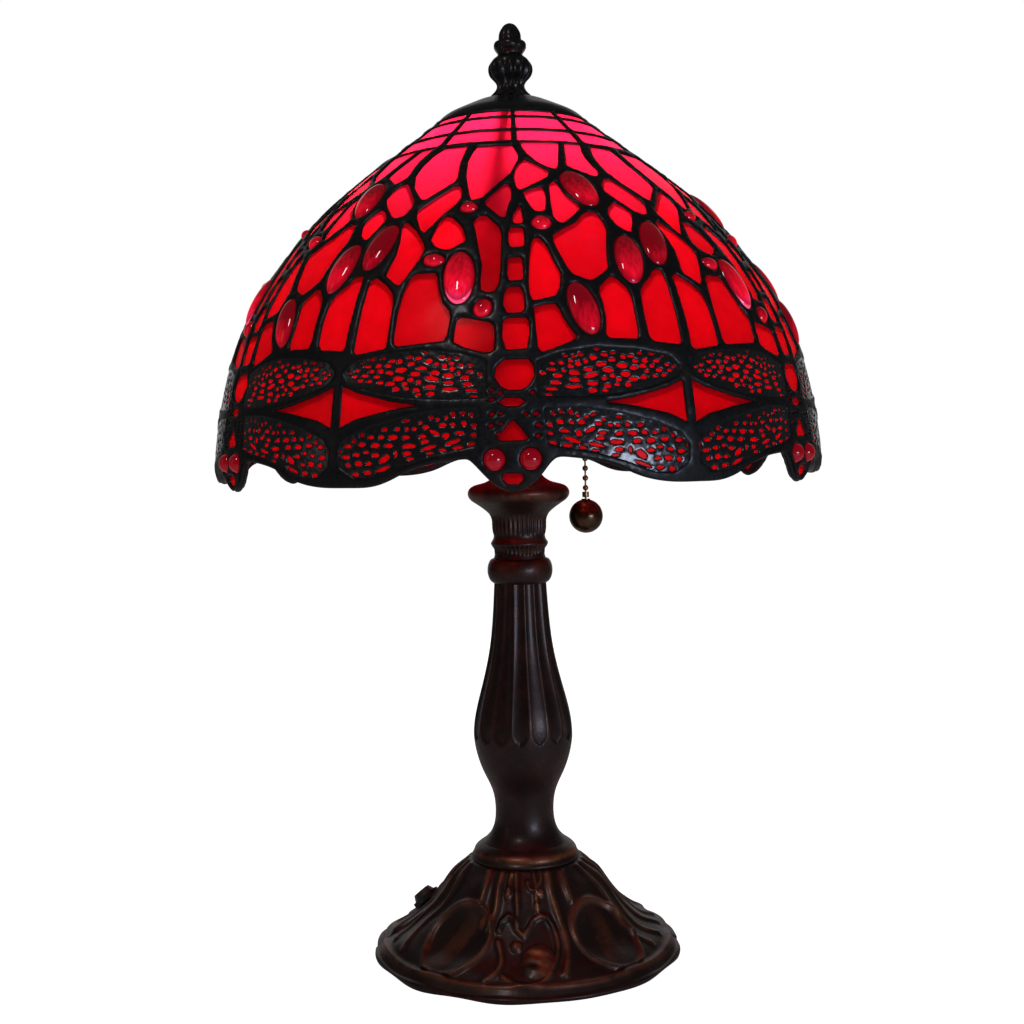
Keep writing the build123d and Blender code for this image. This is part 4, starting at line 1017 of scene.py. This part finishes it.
def soft(name, colour, rough, grain, depth, sheen=0.0):
    """Felt, fibre or moulded plastic."""
    finish = Finish(name, Sheen_Weight=sheen)
    fine = finish.noise(grain, 4, 0.65)
    dark = tuple(c * 0.75 for c in colour)
    finish.link(finish.mix(finish.stretch(fine, 0.3, 0.7), dark, colour), "Base Color")
    finish.link(finish.stretch(fine, 0.2, 0.8, rough * 0.85, min(1, rough * 1.15)), "Roughness")
    finish.link(finish.bump(fine, depth, 0.7), "Normal")
    return finish.material


def lit_bulb():
    """Soft white coated glass, lit from inside."""
    finish = Finish("lit_bulb", Roughness=0.3, Emission_Strength=BULB_GLOW)
    cloud = finish.noise(0.02, 2)
    colour = finish.ramp(cloud, (0.3, (1.0, 0.93, 0.86)), (0.7, (1.0, 0.97, 0.93)))
    finish.link(colour, "Base Color")
    finish.link(colour, "Emission Color")
    finish.lets_light_through(finish.shader.outputs[0], (1.0, 1.0, 1.0))
    return finish.material


# ---------------------------------------------------------------- the pieces
BRONZE = bronze("antique_bronze_cast", (0.018, 0.0072, 0.005), (0.25, 0.075, 0.026))
DARK_BRONZE = bronze("antique_bronze_dark", (0.012, 0.009, 0.0085), (0.05, 0.035, 0.03), 0.3)
PATINA = black_patina("solder_black_patina", rough=0.4, lacquer=0.12)
PLATE_PATINA = black_patina("plate_black_patina", (0.014, 0.014, 0.018), 0.2, 0.6, 0.8)
RED_GLASS = art_glass()
# Painted light in the jewels and eyes: glow colours from the dark top (painted shade) through the middle to
# the bright foot, then the glow's strength
JEWEL_GLASS = pressed_glass("pressed_red_glass", (0.13, 0.0, 0.002), (0.86, 0.003, 0.022), (1.0, 0.03, 0.15),
                            0.95)
EYE_GLASS = pressed_glass("pressed_eye_glass", (0.24, 0.0, 0.004), (0.36, 0.001, 0.007), (0.62, 0.01, 0.03),
                          0.6)


def make_shade():
    lead, glass, plates = build_lead(), build_glass(), build_plates()
    for i in range(PANELS):
        number = i + 1
        places, faces, _ = lead
        mesh_piece(f"lead_came_{number}", turned_about(places, PITCH * i), faces, PATINA, "shade",
                   [f"lead_panel_{number}"], 48)
        places, faces, owner = glass
        tones = np.array([random.random() for _ in range(int(owner.max()) + 1)])
        tones[WING_PANES] = WING_TONE
        mesh_piece(f"glass_panes_{number}", turned_about(places, PITCH * i), faces, RED_GLASS, "shade",
                   [f"glass_panel_{number}"], 40, {"tone": tones[owner.astype(int)]})
        places, faces, _ = plates
        mesh_piece(f"wing_filigree_{number}", turned_about(places, PITCH * i), faces, PLATE_PATINA, "shade",
                   [f"wing_plates_{number}"], 50)


def make_jewels():
    # Each jewel's painted shade, added to its fall: more makes the whole jewel darker
    for name, table, painted_shade, depth, material in (
            ("jewels_large", JEWELS_LARGE, (0.2, 0.12, 0.5, -0.1, 0.3), 4.2, JEWEL_GLASS),
            ("jewels_small", JEWELS_SMALL, (0.0, -0.1, 0.0, 0.1), 3.6, JEWEL_GLASS),
            ("dragonfly_eyes", EYES, (0.1, 0.1), 4.6, EYE_GLASS)):
        build = Build()
        for jewel, dark in zip(table, painted_shade):
            cabochon(build, *jewel, depth, dark)
        places, faces, values = in_every_panel(build.arrays())
        mesh_piece(f"{name}_domed", places, faces, material, "shade", [name], 60,
                   {"girdle": values.real, "fall": values.imag})


def worn_ring(middle, spread, amount=1.0):
    """No relief, but a finish rubbed through in a ring round the piece."""
    def relief(angle, run, radius):
        return np.zeros_like(angle), amount * np.exp(-((run - middle) / spread) ** 2)
    return relief


def make_castings():
    """The castings from the foot up: outline, inner line, points round and along, and relief."""
    foot = [(27.6, 47.0), (30.9, 44), (33.3, 42), (37.3, 38), (41.8, 32), (46.6, 26), (52.8, 20), (60.3, 14),
            (67.1, 10), (72.3, 6), (75.8, 4), (77.0, 2.6), (76.6, 0.8)]
    hollow = [(73.4, 0.8), (73.4, 1.5), (64, 6.0), (49.4, 15.5), (38.5, 27.5), (29, 38.5), (9, 43.4), (9, 19),
              (5, 19), (5, 47)]
    collar = [(21.4, 55.5), (23.7, 54), (25.9, 51.5), (26.4, 50), (27.3, 48.5), (26.7, 47.0)]
    baluster = [(13.2, 186.5), (14.2, 171), (16.4, 152.5), (20, 136.5), (23.6, 122.5), (25, 111.5),
                (24.2, 103.5), (20.5, 91.5), (16.1, 81.5), (14.7, 71.5), (15.2, 65.5), (17.9, 59),
                (21.4, 55.5)]
    bead = [(13.1, 199), (14.3, 198.6), (15.9, 196.2), (16.4, 193), (15.9, 189.8), (14.3, 187.2),
            (13.2, 186.5)]
    neck = [(21.4, 226.5), (16, 222.4), (13.8, 219.5), (13.3, 214), (13.4, 208.4), (14.4, 206.4),
            (13.1, 204.6), (13.1, 199)]
    cap = [(10, 246), (11.5, 241.5), (17, 237.2), (24.9, 233.8), (25.6, 231.5), (24.6, 229), (21.4, 226.5)]
    for name, outline, inner, sides, rows, relief in (
            ("foot", foot, hollow, 600, 128, foot_relief),
            ("column_collar", collar, [(5, 47), (5, 55.5)], 256, 26, worn_ring(5.6, 1.6)),
            ("column_baluster", baluster, [(5, 55.5), (5, 186.5)], 384, 170, fluting(16, 8, 0.9, -12, 79)),
            ("column_bead", bead, [(5, 186.5), (5, 199)], 192, 28, worn_ring(6.0, 4.0, 0.2)),
            ("column_neck", neck, [(5, 199), (5, 226.5)], 432, 70, neck_relief),
            ("column_cap", cap, [(5, 226.5), (5, 246)], 256, 60, worn_ring(24.0, 2.5, 0.5))):
        carved(name, outline, inner, sides, rows, relief, BRONZE, "stand")
    finial = [(0.05, 464.5), (2.7, 463.2), (4.5, 460.9), (5.6, 458), (6.2, 455.3), (7.6, 454.5), (8.2, 452.9),
              (7.3, 450.9), (6.2, 448.8), (8.3, 446.7), (10, 444), (10.4, 441.3), (9.7, 438.6), (7.5, 435.9),
              (6.5, 433.8), (7.0, 431.6), (8.8, 429.4), (10.6, 427.3)]
    thread = [(3.2, 427.3), (3.2, 439.9), (0.05, 440)]
    carved("finial", finial, thread, 192, 130, finial_relief, DARK_BRONZE, "finial")


def neck_relief(angle, run, radius):
    """Fine reeding above and below the small ring."""
    reeds = np.cos(np.radians(angle * 36))
    upper = np.clip((run - 8) / 2, 0, 1) * np.clip((19.5 - run) / 1.5, 0, 1)
    lower = np.clip((run - 24.5) / 1, 0, 1) * np.clip((30 - run) / 1, 0, 1)
    ring = np.exp(-((run - 22.2) / 1.4) ** 2)
    return 0.28 * reeds * (upper + lower), np.clip(0.25 * reeds * (upper + lower), 0, 1) + 0.25 * ring


def finish_cad_nodes():
    """Materials for the pieces whose CAD shape is the real one."""
    zinc = metal("zinc_plate", (0.56, 0.56, 0.54), 0.34)
    brass = metal("satin_brass", (0.62, 0.44, 0.20), 0.3)
    harp_metal = metal("harp_bronze_plate", (0.11, 0.065, 0.04), 0.36, 0.9)
    chain_metal = metal("oiled_bronze_chain", (0.32, 0.18, 0.085), 0.28, 1.0, cloud=0.5)
    finishes = {
        metal("raw_casting", (0.05, 0.05, 0.052), 0.6, 0.7, 0.002, 0.0003): ["base_weight"],
        zinc: ["pipe_washer", "pipe_nut", "lamp_pipe", "lever_pin", "pull_lever", "lever_spring",
               "terminal_screws"],
        brass: ["socket_cap", "socket_shell", "screw_shell", "centre_contact", "chain_guide"],
        harp_metal: ["harp_saddle", "harp", "harp_ferrules", "harp_stud"],
        chain_metal: ["chain_feed", "chain_lead", "chain_drop", "chain_coupling"],
        metal("aluminium_cap", (0.75, 0.75, 0.75), 0.28): ["bulb_base", "bulb_contact"],
        soft("black_felt", (0.02, 0.02, 0.022), 0.95, 0.0006, 0.0004, 0.4): ["felt_pad"],
        soft("black_moulding", (0.012, 0.012, 0.012), 0.35, 0.0008, 0.00005): ["cord_gland", "socket_body"],
        soft("fibre_board", (0.16, 0.12, 0.085), 0.8, 0.0007, 0.0001): ["socket_liner"],
        soft("glass_mount", (0.8, 0.82, 0.82), 0.15, 0.002, 0.00002): ["bulb_mount"],
        lit_bulb(): ["bulb_glass"],
        PATINA: ["shade_ring"],
        DARK_BRONZE: ["shade_cap"],
        metal("pull_ball_bronze", (0.12, 0.068, 0.034), 0.2, 0.85, cloud=0.6): ["pull_ball"],
    }
    for material, nodes in finishes.items():
        for node in nodes:
            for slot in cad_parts[node].material_slots:
                slot.material = material


# ---------------------------------------------------------------- floor, lights and camera
def make_floor():
    mesh = bpy.data.meshes.new("floor")
    half = 40.0
    corners = [(-half, -half, 0), (half, -half, 0), (half, half, 0), (-half, half, 0)]
    mesh.from_pydata(corners, [], [(0, 1, 2, 3)])
    floor = bpy.data.objects.new("floor", mesh)
    bpy.context.collection.objects.link(floor)
    finish = Finish("pale_floor", Roughness=0.8, Specular_IOR_Level=0.1)
    cloud = finish.noise(0.5, 2)
    finish.link(finish.ramp(cloud, (0.3, (0.86, 0.86, 0.86)), (0.7, (0.9, 0.9, 0.9))), "Base Color")
    finish.shader.inputs["Emission Color"].default_value = (1, 1, 1, 1)
    seen = finish.node("ShaderNodeLightPath").outputs["Is Camera Ray"]
    finish.link(finish.math("MULTIPLY", seen, FLOOR_GLOW), "Emission Strength")
    mesh.materials.append(finish.material)


def soft_light(name, place, target, wide, tall, power, colour=(1, 1, 1)):
    light = bpy.data.lights.new(name, "AREA")
    light.shape = "RECTANGLE"
    light.size, light.size_y = wide, tall
    light.energy = power
    light.color = colour
    lamp = bpy.data.objects.new(name, light)
    lamp.location = place
    lamp.rotation_euler = (Vector(target) - Vector(place)).to_track_quat("-Z", "Y").to_euler()
    bpy.context.collection.objects.link(lamp)


def make_lights():
    """The bulb's light, which doesn't show in reflections, and four soft lights."""
    low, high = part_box("bulb_glass")
    light = bpy.data.lights.new("lamp_bulb", "POINT")
    light.energy = BULB_WATTS
    light.shadow_soft_size = 0.005
    light.color = (1.0, 0.92, 0.86)
    lamp = bpy.data.objects.new("lamp_bulb", light)
    lamp.location = (0, 0, (low.z + high.z) / 2 + 0.012)
    lamp.visible_glossy = False
    bpy.context.collection.objects.link(lamp)
    middle = (0, 0, 0.25)
    soft_light("window", (0.64, -0.92, 0.23), middle, 0.4, 0.2, 3.6, (0.66, 0.78, 1.0))
    soft_light("backdrop", (0, 1.1, 0.5), middle, 1.6, 1.2, 2.4)
    soft_light("overhead", (-0.45, -0.9, 1.3), middle, 0.12, 0.3, 3.0)
    soft_light("side_fill", (-1.4, -0.5, 0.6), middle, 0.3, 0.9, 0.3)
    make_room()


def make_room():
    """A white backdrop that gives the lamp only dim light."""
    world = bpy.context.scene.world or bpy.data.worlds.new("world")
    bpy.context.scene.world = world
    world.use_nodes = True
    tree = world.node_tree
    room = tree.nodes["Background"]
    room.inputs["Color"].default_value = (1, 1, 1, 1)
    room.inputs["Strength"].default_value = ROOM_LIGHT
    backdrop = tree.nodes.new("ShaderNodeBackground")
    backdrop.inputs["Color"].default_value = (1, 1, 1, 1)
    path = tree.nodes.new("ShaderNodeLightPath")
    both = tree.nodes.new("ShaderNodeMixShader")
    tree.links.new(path.outputs["Is Camera Ray"], both.inputs[0])
    tree.links.new(room.outputs[0], both.inputs[1])
    tree.links.new(backdrop.outputs[0], both.inputs[2])
    tree.links.new(both.outputs[0], tree.nodes["World Output"].inputs["Surface"])


def make_camera():
    camera = bpy.data.objects.new("camera", bpy.data.cameras.new("camera"))
    camera.data.sensor_width = 36
    camera.data.lens = CAMERA_LENS
    camera.data.clip_start = 0.01
    aim = Euler((math.radians(90 - CAMERA_DOWN), 0, math.radians(CAMERA_TURN))).to_matrix().to_4x4()
    roll = Matrix.Rotation(math.radians(CAMERA_ROLL), 4, "Z")
    camera.matrix_world = Matrix.Translation(CAMERA_PLACE) @ aim @ roll
    bpy.context.collection.objects.link(camera)
    bpy.context.scene.camera = camera
    bpy.context.scene.view_settings.view_transform = "Standard"


make_shade()
make_jewels()
make_castings()
finish_cad_nodes()
make_floor()
make_lights()
make_camera()
